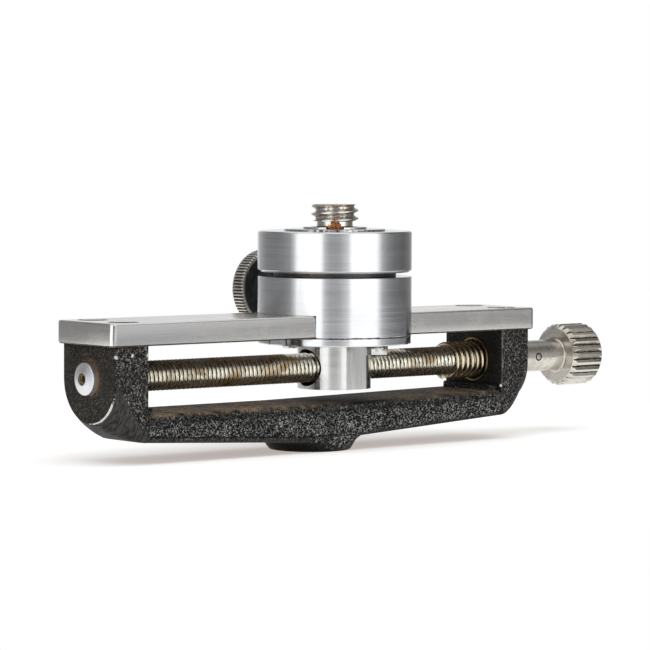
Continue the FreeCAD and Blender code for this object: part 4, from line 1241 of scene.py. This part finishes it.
# ================================================================ drive
@dataclass
class Drive:
    """Lead screw, buffer spring and the fluted knob with its pin."""
    height: float = 16.26
    pitch: float = 1.0
    crest: float = 2.95
    root: float = 2.36
    thread: tuple[float, float] = (-50.22, 44.72)
    journal: float = 2.5
    screw_end: float = 71.26
    hub_start: float = 52.01
    hub_radius: float = 3.3
    head_start: float = 67.01
    head_end: float = 75.51
    face_radius: float = 5.7
    knob_radius: float = 6.5
    chamfer: float = 0.9
    flutes: int = 24
    flute_depth: float = 0.65
    crest_share: float = 0.3
    pin_x: float = 59.41
    coil_radius: float = 3.445
    wire: float = 0.75
    coil_pitch: float = 1.38
    coil_turns: float = 6.5
    coil_start: float = 35.405
    coil_steps: int = 64
    wire_sides: int = 20
    sides: int = 48
    pivot: Outline = ((1.15, -55.0, 0.1), (0.72, -55.0), (0.64, -54.9), (0, -54.1))

    def build(self) -> None:
        """Make the drive's pieces."""
        self.build_screw()
        self.build_spring()
        self.build_knob()
        self.build_pin()

    def build_screw(self) -> None:
        """Make the lead screw: its thread, its pivot and its journal."""
        centre = (0, 0, self.height)
        start, end = self.thread
        radii, heights, angles, depth = screw_thread(start, end, self.pitch, self.crest, self.root,
                                                     0.36, self.sides)
        oil = np.clip((depth - 0.48) * 2.0, 0, 1)
        thread = lathe(radii, heights, angles, Axis.X, centre, close_columns=False,
                       marks={"soil": oil})
        pivot = soften([(self.root, start), (self.pivot[0][0], start), *self.pivot])
        tail = soften([(self.root, end), (self.journal, end), (self.journal, self.screw_end, 0.2),
                       (0, self.screw_end)])
        # Painted shade: the centre hole in the pivot's end is darkened.
        tip = revolve(pivot, Axis.X, centre, self.sides, material=1,
                      marks={"soil": 1.0 * (pivot[:, :1] < 0.7)})
        make_piece("lead_screw_cut", [thread, tip, revolve(tail, Axis.X, centre, self.sides)],
                   [THREAD_STEEL, PIVOT_STEEL], "drive", ["drive_screw"])

    def build_spring(self) -> None:
        """Make the spring: a round wire carried along its helix.

        The wire's centre is at (pitch * turns, r sin a, -r cos a). Round it stands a circle in
        the plane of the outward direction and of its cross product with the helix's tangent.
        """
        turn = np.linspace(0, self.coil_turns * TAU, int(self.coil_turns * self.coil_steps) + 1)
        zero, sin, cos = np.zeros_like(turn), np.sin(turn), np.cos(turn)
        outward = np.stack([zero, sin, -cos], axis=1)
        forward = np.stack([zero + self.coil_pitch / TAU, self.coil_radius * cos,
                            self.coil_radius * sin], axis=1)
        forward /= np.linalg.norm(forward, axis=1, keepdims=True)
        across = np.cross(outward, forward)
        middle = outward * self.coil_radius + np.stack(
            [self.coil_start + self.coil_pitch * turn / TAU, zero, zero + self.height], axis=1)
        ring = ring_angles(self.wire_sides)[:, None]
        circle = np.cos(ring) * outward[:, None] + np.sin(ring) * across[:, None]
        tube = middle[:, None] + self.wire / 2 * circle
        inner = np.clip(-np.cos(ring[:, 0]), 0, 1) * 0.5
        patches = [Patch(tube, close_columns=True, marks={"soil": inner}), fan(tube[0]),
                   fan(tube[-1])]
        make_piece("buffer_spring_wire", patches, [SPRING_STEEL], "yoke", ["buffer_spring"])

    def flute(self, angles: Array) -> Array:
        """Radius of the fluted head: a crest arc, then straight lines down to a valley and up.

        The groove's walls are straight in the plane, which is the same as r = d / cos(angle
        from the foot of the perpendicular dropped from the axis on the wall's line).
        """
        step = TAU / self.flutes
        away = np.abs((angles / step + 0.5) % 1 - 0.5) * step
        edge, valley = self.crest_share * step / 2, step / 2
        a = self.knob_radius * np.array([math.cos(edge), math.sin(edge)])
        b = (self.knob_radius - self.flute_depth) * np.array([math.cos(valley), math.sin(valley)])
        cross = a[0] * b[1] - a[1] * b[0]
        wall = cross / ((b[1] - a[1]) * np.cos(away) - (b[0] - a[0]) * np.sin(away))
        return np.where(away <= edge, self.knob_radius, wall)

    def build_knob(self) -> None:
        """Make the knob: radius is the lesser of its turned profile and its flutes."""
        step = TAU / self.flutes
        shares = np.array([-0.15, -0.07, 0.0, 0.07, 0.15, 0.17, 0.24, 0.31, 0.38, 0.45, 0.48, 0.5,
                           0.52, 0.55, 0.62, 0.69, 0.76, 0.83])
        angles = (np.arange(self.flutes)[:, None] * step + shares[None] * step).reshape(-1)
        start, end, face, rim = self.head_start, self.head_end, self.face_radius, self.knob_radius
        hub = soften([(0, self.hub_start), (self.hub_radius, self.hub_start, 0.12),
                      (self.hub_radius, start, 0.45), (face, start)])
        rise = np.linspace(0, 1, 12)[1:, None]
        slope_in = np.hstack([face + (rim - face) * rise, start + self.chamfer * rise])
        slope_out = np.hstack([rim - (rim - face) * rise, end - self.chamfer + self.chamfer * rise])
        long = np.linspace((rim, start + self.chamfer), (rim, end - self.chamfer), 8)[1:]
        cap = np.array([(face - 0.04, end), (3.4, end), (3.0, end), (0.6, end), (0.0, end)])
        profile = np.concatenate([hub, slope_in, long, slope_out, cap])
        radius, height, wall = profile[:, :1], profile[:, 1:], self.flute(angles)[None]
        depth = np.clip((rim - wall) / self.flute_depth, 0, 1)
        soil = (radius > face + 0.1) * np.clip(depth * 2.2 - 1.1, 0, 0.9)
        soil = soil + hump(height, start, 0.2) * 0.2 * (radius < 3.9)
        knob = lathe(np.minimum(radius, wall), height, angles, Axis.X, (0, 0, self.height),
                     marks={"soil": soil})
        make_piece("drive_knob_fluted", [knob], [NICKEL], "drive", ["drive_knob"])

    def build_pin(self) -> None:
        """Make the pin across the hub, with a dark ring at each end.

        Each end is a round patch laid on the hub: at radius r and angle a it stands at
        x = place + r cos a and z = height + r sin a, and as far out as the hub's cylinder there
        plus the end's own small rise.
        """
        rises = np.array([(0.0, 0.07), (0.3, 0.065), (0.5, 0.05), (0.58, 0.02), (0.6, 0.008),
                          (0.82, 0.008), (0.88, 0.0), (0.88, -0.3)])
        soil = np.array([0.1, 0.12, 0.2, 0.6, 1.0, 1.0, 0.8, 0.8])[:, None]
        angles = ring_angles(self.sides)[None]
        x = self.pin_x + rises[:, :1] * np.cos(angles)
        z = rises[:, :1] * np.sin(angles)
        y = np.sqrt(self.hub_radius ** 2 - z ** 2) + rises[:, 1:]
        front, rear = (Patch(np.stack([x, way * y, z + self.height], axis=2), close_columns=True,
                             marks={"soil": soil}) for way in (-1, 1))
        stem = between(front.points[-1], rear.points[-1], 2, close_columns=True)
        make_piece("taper_pin_end", [front, rear, stem], [SCREW_STEEL], "drive", ["knob_taper_pin"])


# ================================================================ carriage
@dataclass
class Carriage:
    """Slotted body, keeper with its screws, nut and friction washer."""
    x: float = 6.25
    radius: float = 15.5
    low: float = 22.65
    slot_top: float = 27.14
    top: float = 34.46
    slot_half: float = 9.265
    bore: float = 9.06
    bore_floor: float = 29.54
    edge: float = 0.12
    keeper_radius: float = 15.4
    keeper_low: float = 21.01
    keeper_top: float = 22.61
    nicks: tuple[float, float] = (173.9, 192.7)
    nick_width: float = 0.35
    nick_depth: float = 0.5
    screw_place: float = 13.2
    head_radius: float = 2.25
    head_height: float = 1.75
    screw_height: float = 16.26
    mouth_radius: float = 3.74
    nut_radius: float = 7.4
    washer: Outline = ((9.06, 34.46), (12.35, 34.46, 0.1), (12.35, 35.31, 0.1), (9.06, 35.31))
    slot_columns: int = 72
    wall_columns: int = 92
    roof_row: int = 5

    def build(self) -> None:
        """Make the carriage's pieces."""
        self.build_body()
        self.build_keeper()
        self.build_keeper_screws()
        self.build_nut()
        turned_piece("friction_washer", soften(self.washer, closed=True), (Axis.Z, (self.x, 0, 0)),
                     WASHER_STEEL, "carriage", "swivel_washer", "washer_steel", count=192)

    def build_nut(self) -> None:
        """Make the nut from the construction's, with oil on the faces that look at the screw."""
        nut = from_cad("lead_nut_turned", "lead_nut", self.nut_run, TURNED_STEEL, "carriage",
                       "turned_steel", 0.16, sharp=math.radians(12), soil=self.nut_shade)
        mesh = nut.data
        mesh.materials.append(OILY_BORE.material())
        away = read(mesh.polygons, "center", 3, float)[:, 1:] / MM - (0, self.screw_height)
        inward = (away * read(mesh.polygons, "normal", 3, float)[:, 1:]).sum(axis=1) < 0
        inside = inward & (np.linalg.norm(away, axis=1) < self.mouth_radius)
        mesh.polygons.foreach_set("material_index", inside.astype(np.int32))

    @staticmethod
    def nut_shade(points: Array, normals: Array) -> Array:
        """Painted shade on the nut's underside and on the front half of its right side."""
        under = (normals[:, 2] < -FACING) * 0.75
        return np.maximum(under, 0.6 * (normals[:, 0] > 0.8) * (points[:, 1] < 0))

    def nut_run(self, points: Array, normals: Array) -> Array:
        """UV of the nut: rings round its wall, upright marks on its milled flat."""
        x, y, z = points.T
        flat = normals[:, 1] < -0.999
        end = np.abs(normals[:, 2]) > FACING
        u = np.where(flat, x, np.where(end, np.hypot(x - self.x, y), z))
        turn = np.arctan2(y, x - self.x) * self.nut_radius
        return np.stack([u, np.where(flat, z, turn)], axis=1)

    def build_body(self) -> None:
        """Make the body: a turned wall with its slot left open, closed by the slot's faces.

        The wall has columns at the slot's corners, where sin(angle) = half slot / radius, and
        two more close beside each. The slot's roof is ruled from the wall's left arc to its
        right arc, each of its two sides between the wall's corners, and each leg's foot from
        that side to the arc.
        """
        corner = math.asin(self.slot_half / self.radius)
        few, many = self.slot_columns, self.wall_columns
        spans = [(-corner, corner, few), (corner, math.pi - corner, many),
                 (math.pi - corner, math.pi + corner, few), (math.pi + corner, TAU - corner, many)]
        line = np.array([0.0, 0.006, 0.012])
        angles = np.concatenate([
            np.linspace(start, end, count + 1)[:-1] if count == few else
            np.concatenate([start + line, np.linspace(start, end, count - 3)[1:-1],
                            end - line[:0:-1]])
            for start, end, count in spans])
        starts = np.cumsum([0] + [count for _, _, count in spans])
        edge = self.edge
        rim, low = self.radius, self.low
        wall = np.array([(rim - edge, low), (rim - 0.3 * edge, low + 0.3 * edge), (rim, low + edge),
                         (rim, low + 2 * edge), (rim, 25.0), (rim, self.slot_top),
                         (rim, self.slot_top + 0.12), (rim, self.top - 0.2)])
        upper = soften([(rim, self.top - 0.2), (rim, self.top, edge),
                        (self.bore, self.top, 0.1), (self.bore, self.bore_floor),
                        (0, self.bore_floor)])[1:]
        profile = np.concatenate([wall, upper])
        skin = lathe(profile[:, :1], profile[:, 1:], angles, Axis.Z, (self.x, 0, 0))
        roof = self.roof_row
        skin.keep = np.ones((len(profile) - 1, len(angles)), bool)
        skin.keep[:roof, starts[0]:starts[1]] = False
        skin.keep[:roof, starts[2]:starts[3]] = False
        outer = profile[:, :1] > 15
        low_soil = hump(profile[:, 1:], low, 0.16) * 0.9 * outer
        beside = np.zeros(len(angles))
        for first in (starts[1], starts[3]):
            beside[first:first + 2] = 1.0
        for last, dark in ((starts[2], 1.0), (starts[4], 0.5)):
            beside[np.array([last, last - 1]) % len(angles)] = dark
        slot_line = beside * (profile[:, 1:] < self.slot_top + 0.05) * outer * 0.95
        skin.marks = {"soil": np.maximum(low_soil, slot_line)}
        right = skin.points[roof, starts[0]:starts[1] + 1]
        left = skin.points[roof, starts[2]:starts[3] + 1]
        patches = [skin, between(right, left[::-1], 9)]
        for first, last in ((starts[1], starts[2]), (starts[3], starts[4])):
            columns = np.arange(first, last + 1) % len(angles)
            arc = skin.points[0, columns]
            share = (arc[:, 0] - arc[0, 0]) / (arc[-1, 0] - arc[0, 0])
            a, b = skin.points[:roof + 1, columns[0]], skin.points[:roof + 1, columns[-1]]
            side = a[:, None] + (b - a)[:, None] * share[None, :, None]
            patches += [Patch(side), between(side[0], arc, 5)]
        make_piece("carriage_block", patches, [SATIN_CHROME], "carriage", ["carriage_body"])

    def build_keeper(self) -> None:
        """Make the keeper: a round outline with two nicks, drawn in a little at both rims."""
        corners = []
        for angle in self.nicks:
            half = math.degrees(self.nick_width / 2 / self.keeper_radius)
            left, right, deep = angle - half, angle + half, self.nick_depth
            corners += [(left, 0.0), (left, deep), (angle, deep), (right, deep), (right, 0.0)]
        even = [(angle, 0.0) for angle in np.arange(0, 360, 1.5)
                if all(abs(angle - nick) > 0.9 for nick in self.nicks)]
        order = sorted(corners + even, key=lambda pair: pair[0])
        angles = np.radians([angle for angle, _ in order])
        depth = np.array([cut for _, cut in order])
        edge, low, top = 0.13, self.keeper_low, self.keeper_top
        rows = [(0.0, low), (0.9, low), (edge, low), (0.3 * edge, low + 0.3 * edge),
                (0.0, low + edge), (0.0, low + 2 * edge), (0.0, top - 2 * edge), (0.0, top - edge),
                (0.3 * edge, top - 0.3 * edge), (edge, top), (0.9, top), (0.0, top)]
        inset, level = np.array(rows).T
        radii = self.keeper_radius - depth[None] - inset[:, None]
        radii[0] = radii[-1] = 0.0
        plate = lathe(radii, level[:, None], angles, Axis.Z, (self.x, 0, 0))
        rim = hump(level[:, None], top, 0.12) * 0.85
        # Painted shade in the two nicks; the top rim is darkened along its seam with the body.
        plate.marks = {"soil": np.maximum((depth > 0) * 0.95, rim)}
        make_piece("keeper_turned", [plate], [SATIN_CHROME], "carriage", ["keeper_plate"])

    def build_keeper_screws(self) -> None:
        """Make the two cheese-head screws, whose slots look down."""
        r, h = self.head_radius, self.head_height
        rows = np.array([(r, -0.02), (r, 0.06), (r, h - 0.3), (r - 0.06, h - 0.1), (r - 0.24, h)])
        patches = []
        for y, turn in ((-self.screw_place, 0.9), (self.screw_place, 2.2)):
            head = SlottedHead(rows, 0.35, 0.7, turn, upward=-1)
            patches += head.patches((self.x, y, self.keeper_low))
        make_piece("keeper_screw_heads", patches, [TURNED_STEEL], "carriage", ["keeper_screws"])


# ================================================================ swivel
@dataclass
class Swivel:
    """Swivel plate with its land, and the camera stud with its crust of rust."""
    x: float = 6.25
    radius: float = 15.5
    low: float = 35.34
    top: float = 43.50
    low_edge: float = 0.45
    top_edge: float = 0.225
    land_radius: float = 10.15
    land_top: float = 43.90
    spigot_radius: float = 9.0
    spigot_end: float = 29.57
    collar_radius: float = 6.4
    collar_top: float = 44.30
    neck_radius: float = 3.6
    thread_start: float = 45.45
    stud_top: float = 48.80
    stud_radius: float = 4.7625
    stud_root: float = 3.85
    stud_pitch: float = 1.5875
    stud_chamfer: float = 0.45
    slot_angle: float = 231.0
    slot_width: float = 3.6
    slot_depth: float = 1.6
    lumps: tuple[tuple[Spot, Spot, float], ...] = (
        ((4.55, 0.1, 44.5), (0.8, 1.0, 1.0), 1.0), ((4.3, 0.15, 45.3), (0.6, 0.62, 0.62), 2.3),
        ((4.9, -0.75, 44.2), (0.7, 0.95, 0.4), 3.1), ((4.9, 0.95, 44.15), (0.7, 0.85, 0.38), 4.7),
        ((4.2, -0.35, 45.0), (0.5, 0.5, 0.5), 5.9))

    def build(self) -> None:
        """Make the swivel's pieces."""
        self.build_plate()
        self.build_stud()
        self.build_crust()

    def build_plate(self) -> None:
        """Make the plate in one turning from the land's middle to the spigot's."""
        rim, low, top = self.radius, self.low, self.top
        profile = soften([(0, self.land_top), (self.land_radius, self.land_top, 0.07),
                          (self.land_radius, top), (self.land_radius + 0.2, top),
                          (rim - self.top_edge, top, 0.05), (rim, top - self.top_edge, 0.12),
                          (rim, low + self.low_edge, 0.16), (rim - self.low_edge, low, 0.1),
                          (self.spigot_radius, low), (self.spigot_radius, self.spigot_end),
                          (0, self.spigot_end)])
        r, z = profile[:, :1], profile[:, 1:]
        soil = hump(r, self.land_radius, 0.1) * (z > top - 0.02) * 0.45
        soil = soil + hump(z, low + 0.2, 0.15) * (r > 14.9) * 0.3
        turned_piece("swivel_plate_turned", profile, (Axis.Z, (self.x, 0, 0)), SATIN_CHROME,
                     "swivel", "swivel_plate", "satin_chrome", count=320, ring=False,
                     soil=np.clip(soil, 0, 1))

    def build_stud(self) -> None:
        """Make the stud: collar with its two spanner slots, neck and thread.

        The collar's outline is its circle, drawn in to the slot's floor wherever the direction
        from the slot's middle line is within half the slot's width.
        """
        centre = (self.x, 0, 0)
        start, high = self.thread_start, self.stud_top
        radii, heights, angles, depth = screw_thread(start, high, self.stud_pitch, self.stud_radius,
                                                     self.stud_root, 0.10, 128)
        slope = self.stud_radius - np.maximum(0, heights - (high - self.stud_chamfer))
        radii = np.minimum(radii, slope)
        rust = np.clip(0.05 + 0.6 * (heights > high - 0.3) + 0.42 * depth ** 2, 0, 1)
        thread = lathe(radii, heights, angles, Axis.Z, centre, close_columns=False,
                       marks={"soil": rust})
        top = np.array([(self.stud_root, high), (3.0, high), (1.2, high - 0.02), (0, high - 0.04)])
        crown = revolve(top, Axis.Z, centre, 128, marks={"soil": 0.5})
        neck = soften([(self.stud_root, start), (self.neck_radius, start, 0.1),
                       (self.neck_radius, self.collar_top, 0.3), (4.7, self.collar_top)])
        darkening = np.clip(hump(neck[:, 1:], self.collar_top, 0.35) * 0.7, 0, 1)
        shank = revolve(neck, Axis.Z, centre, 128, marks={"soil": darkening})
        make_piece("camera_stud_cut", [thread, crown, shank, *self.collar(centre)], [STUD_STEEL],
                   "swivel", ["camera_stud", "swivel_pivot_screw"])

    def collar(self, centre: Sequence[float]) -> list[Patch]:
        """The collar round the neck, with a spanner slot on each side."""
        half = self.slot_width / 2
        floor = self.collar_radius - self.slot_depth
        rim = math.asin(half / self.collar_radius)
        lobe = np.linspace(rim, math.pi - rim, 61)
        notch = np.linspace(-half, half, 9)
        right = self.collar_radius * np.stack([np.cos(lobe), np.sin(lobe)], axis=1)
        cut = np.stack([np.full(len(notch), floor), notch], axis=1)
        outline = np.concatenate([right, -cut, -right, cut])
        turn = math.radians(self.slot_angle)
        spin = np.array([[math.cos(turn), -math.sin(turn)], [math.sin(turn), math.cos(turn)]])
        way = np.arctan2(outline[:, 1], outline[:, 0])
        inner = 4.6 * np.stack([np.cos(way), np.sin(way)], axis=1)
        low, top, lip = self.land_top - 0.02, self.collar_top, outline * 0.985
        levels = [(inner, low), (outline, low), (outline, top - 0.1), (outline * 0.995, top - 0.02),
                  (lip, top), ((lip + inner) / 2, top), (inner, top)]
        rings = np.stack([np.insert(plan @ spin.T, 2, level, axis=1) for plan, level in levels])
        soil = np.where(np.arange(len(levels)) == 1, 0.5, 0.02)[:, None]
        return [Patch(rings + np.array(centre, float), close_rows=True, close_columns=True,
                      marks={"soil": soil})]

    def build_crust(self) -> None:
        """Make the rust lump in the front slot: balls pushed in and out by ripples.

        A ball's radius in each direction is 1 plus a quarter of a ripple, times its half
        sizes out from the stud, along the slot and up.
        """
        turn = math.radians(self.slot_angle)
        out = np.array([math.cos(turn), math.sin(turn), 0])
        along, up = np.array([-math.sin(turn), math.cos(turn), 0]), np.array([0, 0, 1.0])
        fall, way = np.meshgrid(np.linspace(0, math.pi, 33), ring_angles(48), indexing="ij")
        ball = np.stack([np.sin(fall) * np.cos(way), np.sin(fall) * np.sin(way), np.cos(fall)],
                        axis=2)
        patches = []
        for (radial, sideways, level), size, seed in self.lumps:
            shaped = ball * (1 + 0.26 * ripple(ball, 1.1, seed))[..., None] * size
            place = np.array([self.x, 0, level]) + out * radial + along * sideways
            points = place + shaped[..., :1] * out + shaped[..., 1:2] * along + shaped[..., 2:] * up
            patches.append(Patch(points, close_columns=True))
        make_piece("rust_crust_lump", patches, [CRUST], "swivel", [])


# ================================================================ clamp
@dataclass
class Clamp:
    """The knurled clamp knob at the back, its stem and its slug."""
    x: float = 6.25
    z: float = 31.22
    hub_start: float = 17.4
    hub_radius: float = 4.5
    rim_start: float = 20.2
    rim_end: float = 23.6
    rim_radius: float = 7.95
    teeth: int = 74
    tooth_depth: float = 0.28
    face_radius: float = 7.1
    face_depth: float = 0.3
    stem: Outline = ((0, 11.2), (2.0, 11.2, 0.2), (2.0, 22.4), (0, 22.4))
    slug: Outline = ((0, 9.3), (1.97, 9.3, 0.1), (1.97, 11.06, 0.1), (0, 11.06))

    def build(self) -> None:
        """Make the knob: radius is the lesser of its turned profile and its V grooves."""
        step = TAU / self.teeth
        shares = np.array([-0.15, 0.0, 0.15, 0.2, 0.35, 0.47, 0.5, 0.53, 0.65, 0.8])
        lift = np.array([0, 0, 0, 0.14, 0.57, 0.95, 1.0, 0.95, 0.57, 0.14])
        angles = (np.arange(self.teeth)[:, None] * step + shares[None] * step).reshape(-1)
        groove = np.tile(lift, self.teeth)[None]
        d, start, end, rim = self.tooth_depth, self.rim_start, self.rim_end, self.rim_radius
        foot, sunk = rim - d - 0.08, start + self.face_depth
        profile = np.concatenate([
            soften([(2.2, self.hub_start), (self.hub_radius, self.hub_start, 0.2),
                    (self.hub_radius, sunk, 0.15), (self.face_radius, sunk, 0.15),
                    (self.face_radius, start, 0.06)]),
            np.array([(foot, start), (rim - 0.6 * d, start + 0.4 * d), (rim, start + d),
                      (rim, start + d + 0.05), (rim, (start + end) / 2), (rim, end - d - 0.05),
                      (rim, end - d), (rim - 0.6 * d, end - 0.4 * d), (foot, end)]),
            soften([(foot, end), (6.6, end), (6.3, end - 0.18, 0.1), (2.4, end - 0.18),
                    (2.2, end - 0.3), (0, end - 0.3)])[1:]])
        radius, height = profile[:, :1], profile[:, 1:]
        front = (height < start + 0.08) * (radius > self.face_radius - 0.05)
        bare = np.clip((radius > rim - d - 0.1) * (1.0 - 1.5 * groove) + front * 0.85, 0, 1)
        line = Axis.Y, (self.x, 0, self.z)
        knob = lathe(np.minimum(radius, rim - d * groove), height, angles, *line,
                     marks={"bare": bare})
        neck = revolve(np.array([(2.2, self.hub_start), (0.0, self.hub_start)]), *line, len(angles))
        make_piece("clamp_knob_knurled", [knob, neck], [CLAMP_BLACK], "clamp", ["clamp_knob"])
        turned_piece("clamp_stem", soften(self.stem), line, SCREW_STEEL, "clamp", "clamp_screw",
                     "screw_steel", count=64, ring=False)
        turned_piece("clamp_slug_brass", soften(self.slug), line, BRASS, "clamp_slug", "clamp_pad",
                     "brass", count=64, ring=False)


# ================================================================ studio
@dataclass
class Studio:
    """Camera, table, lights and white surroundings."""
    azimuth: float = 0.6846229816
    pitch: float = 0.0560221808
    roll: float = 0.0040838136
    eye: Spot = (-0.400867, -0.495742, 0.060510)
    lens: float = 177.01
    sensor: float = 36.0
    reach: tuple[float, float] = (0.01, 10.0)
    table_radius: float = 0.14
    sides: tuple[tuple[float, float], ...] = (
        (-180, 1.0), (-168, 0.9), (-150, 0.5), (-124, 0.27), (-102, 0.22), (-84, 0.25),
        (-70, 0.38), (-62, 0.9), (-58, 1.65), (-20, 1.65), (-16, 0.7), (-7, 0.42), (6, 0.42),
        (14, 0.66), (20, 0.85), (25, 1.65), (65, 1.65), (75, 0.55), (86, 0.3), (100, 0.19),
        (124, 0.14), (150, 0.25), (166, 0.5), (174, 0.9), (180, 1.0))
    levels: tuple[tuple[float, float], ...] = (
        (-1.0, 0.9), (-0.45, 0.9), (-0.25, 1.0), (0.2, 1.0), (0.42, 0.7), (0.62, 0.6), (0.8, 1.0),
        (1.0, 1.0))
    overhead: float = 1.15
    soft_light: float = 0.62
    lamp_power: float = 3.0
    lamp_size: tuple[float, float] = (1.1, 0.5)
    lamp_place: Spot = (-0.12, -0.20, 0.62)

    def build(self) -> None:
        """Set up the camera, the table and the light."""
        self.build_camera()
        self.build_table()
        self.build_surroundings()
        self.build_lamp()
        bpy.context.scene.view_settings.view_transform = "Standard"

    def build_camera(self) -> None:
        """Aim the camera by its azimuth, pitch and roll."""
        sin_a, cos_a = math.sin(self.azimuth), math.cos(self.azimuth)
        sin_p, cos_p = math.sin(self.pitch), math.cos(self.pitch)
        forward = np.array([sin_a * cos_p, cos_a * cos_p, -sin_p])
        level = np.array([cos_a, -sin_a, 0.0])
        upright = np.cross(level, forward)
        right = math.cos(self.roll) * level + math.sin(self.roll) * upright
        up = -math.sin(self.roll) * level + math.cos(self.roll) * upright
        data = bpy.data.cameras.new("studio_camera")
        data.lens, data.sensor_width = self.lens, self.sensor
        data.clip_start, data.clip_end = self.reach
        camera = bpy.data.objects.new("studio_camera", data)
        turned = np.column_stack([right, up, -forward])
        camera.matrix_world = Matrix.Translation(self.eye) @ Matrix(turned.tolist()).to_4x4()
        bpy.context.scene.collection.objects.link(camera)
        bpy.context.scene.camera = camera

    def build_table(self) -> None:
        """Make the round table top."""
        profile = np.array([(0.0, 0.0), (0.02, 0.0), (self.table_radius, 0.0)]) / MM
        disc = revolve(profile, Axis.Z, (0, 0, 0), 96)
        mesh = bpy.data.meshes.new("table_top")
        mesh.from_pydata((disc.points.reshape(-1, 3) * MM).tolist(), [], disc.quads()[0].tolist())
        work = bmesh.new()
        work.from_mesh(mesh)
        bmesh.ops.remove_doubles(work, verts=work.verts, dist=MERGE)
        for face in work.faces:
            face.normal_update()
        work.to_mesh(mesh)
        work.free()
        mesh.materials.append(PaleFloor("pale_table").material())
        table = bpy.data.objects.new("table_top", mesh)
        bpy.context.scene.collection.objects.link(table)

    def build_surroundings(self) -> None:
        """Make the surroundings: white to the eye, soft even light, and screens in reflections.

        In a reflection the brightness is a table by the angle in plan, counted from the side
        of the camera, times a table by the height, with a bright screen overhead.
        """
        kit = NodeKit(bpy.data.worlds.new("white_room"))
        bpy.context.scene.world = kit.made
        way = kit.add("TexCoord", {}, "Generated")
        camera_side = math.atan2(self.eye[1], self.eye[0])
        turned = kit.add("VectorRotate", {"Vector": way, "Angle": -camera_side},
                         rotation_type="Z_AXIS")
        x, y, z = kit.add("SeparateXYZ", {0: turned}).node.outputs
        around = kit.plus(kit.step("DIVIDE", kit.step("ARCTAN2", y, x), TAU), 0.5)
        side = self.table_of(kit, around,
                             [(angle / 360 + 0.5, light) for angle, light in self.sides])
        height = self.table_of(kit, kit.times(kit.plus(z, 1.0), 0.5),
                               [(level / 2 + 0.5, light) for level, light in self.levels])
        top = kit.fade(z, 0.7, 0.86)
        room = kit.plus(kit.times(side, height, kit.minus(1.0, top)), kit.times(top, self.overhead))
        mixed = kit.add("Mix", {0: kit.rays("Glossy"), 2: self.soft_light, 3: room}, 0,
                        data_type="FLOAT")
        light = kit.add("Mix", {0: kit.rays("Camera", "Transmission"), 2: mixed, 3: 1.0}, 0,
                        data_type="FLOAT")
        kit.dress({"Color": (1.0, 1.0, 1.0, 1.0)}, Strength=light)

    @staticmethod
    def table_of(kit: NodeKit, value: Socket, stops: Sequence[tuple[float, float]]) -> Socket:
        """Look a number up in a table, in straight lines between its stops.

        Args:
            kit: The nodes to add to.
            value: The number, from 0 to 1.
            stops: Places and the numbers at them.

        Returns:
            The number found.
        """
        socket = kit.add("ValToRGB", {0: value})
        ramp = socket.node.color_ramp
        while len(ramp.elements) < len(stops):
            ramp.elements.new(0.5)
        for element, (place, _) in zip(ramp.elements, stops):
            element.position = place
        for element, (place, light) in zip(ramp.elements, stops):
            element.position = place
            element.color = (light, light, light, 1.0)
        return kit.add("RGBToBW", {0: socket})

    def build_lamp(self) -> None:
        """Hang a wide soft lamp over the table."""
        data = bpy.data.lights.new("overhead_lamp", "AREA")
        data.shape, data.energy = "RECTANGLE", self.lamp_power
        data.size, data.size_y = self.lamp_size
        lamp = bpy.data.objects.new("overhead_lamp", data)
        lamp.location = self.lamp_place
        lamp.visible_glossy = False
        bpy.context.scene.collection.objects.link(lamp)


def main() -> None:
    """Build every sub-assembly in order."""
    logging.basicConfig(level=logging.INFO, format="%(name)s: %(message)s")
    for part in (Yoke(), Rail(), Drive(), Carriage(), Swivel(), Clamp(), Studio()):
        part.build()
        LOG.info("%s is built", type(part).__name__)


if __name__ == "__main__":
    main()
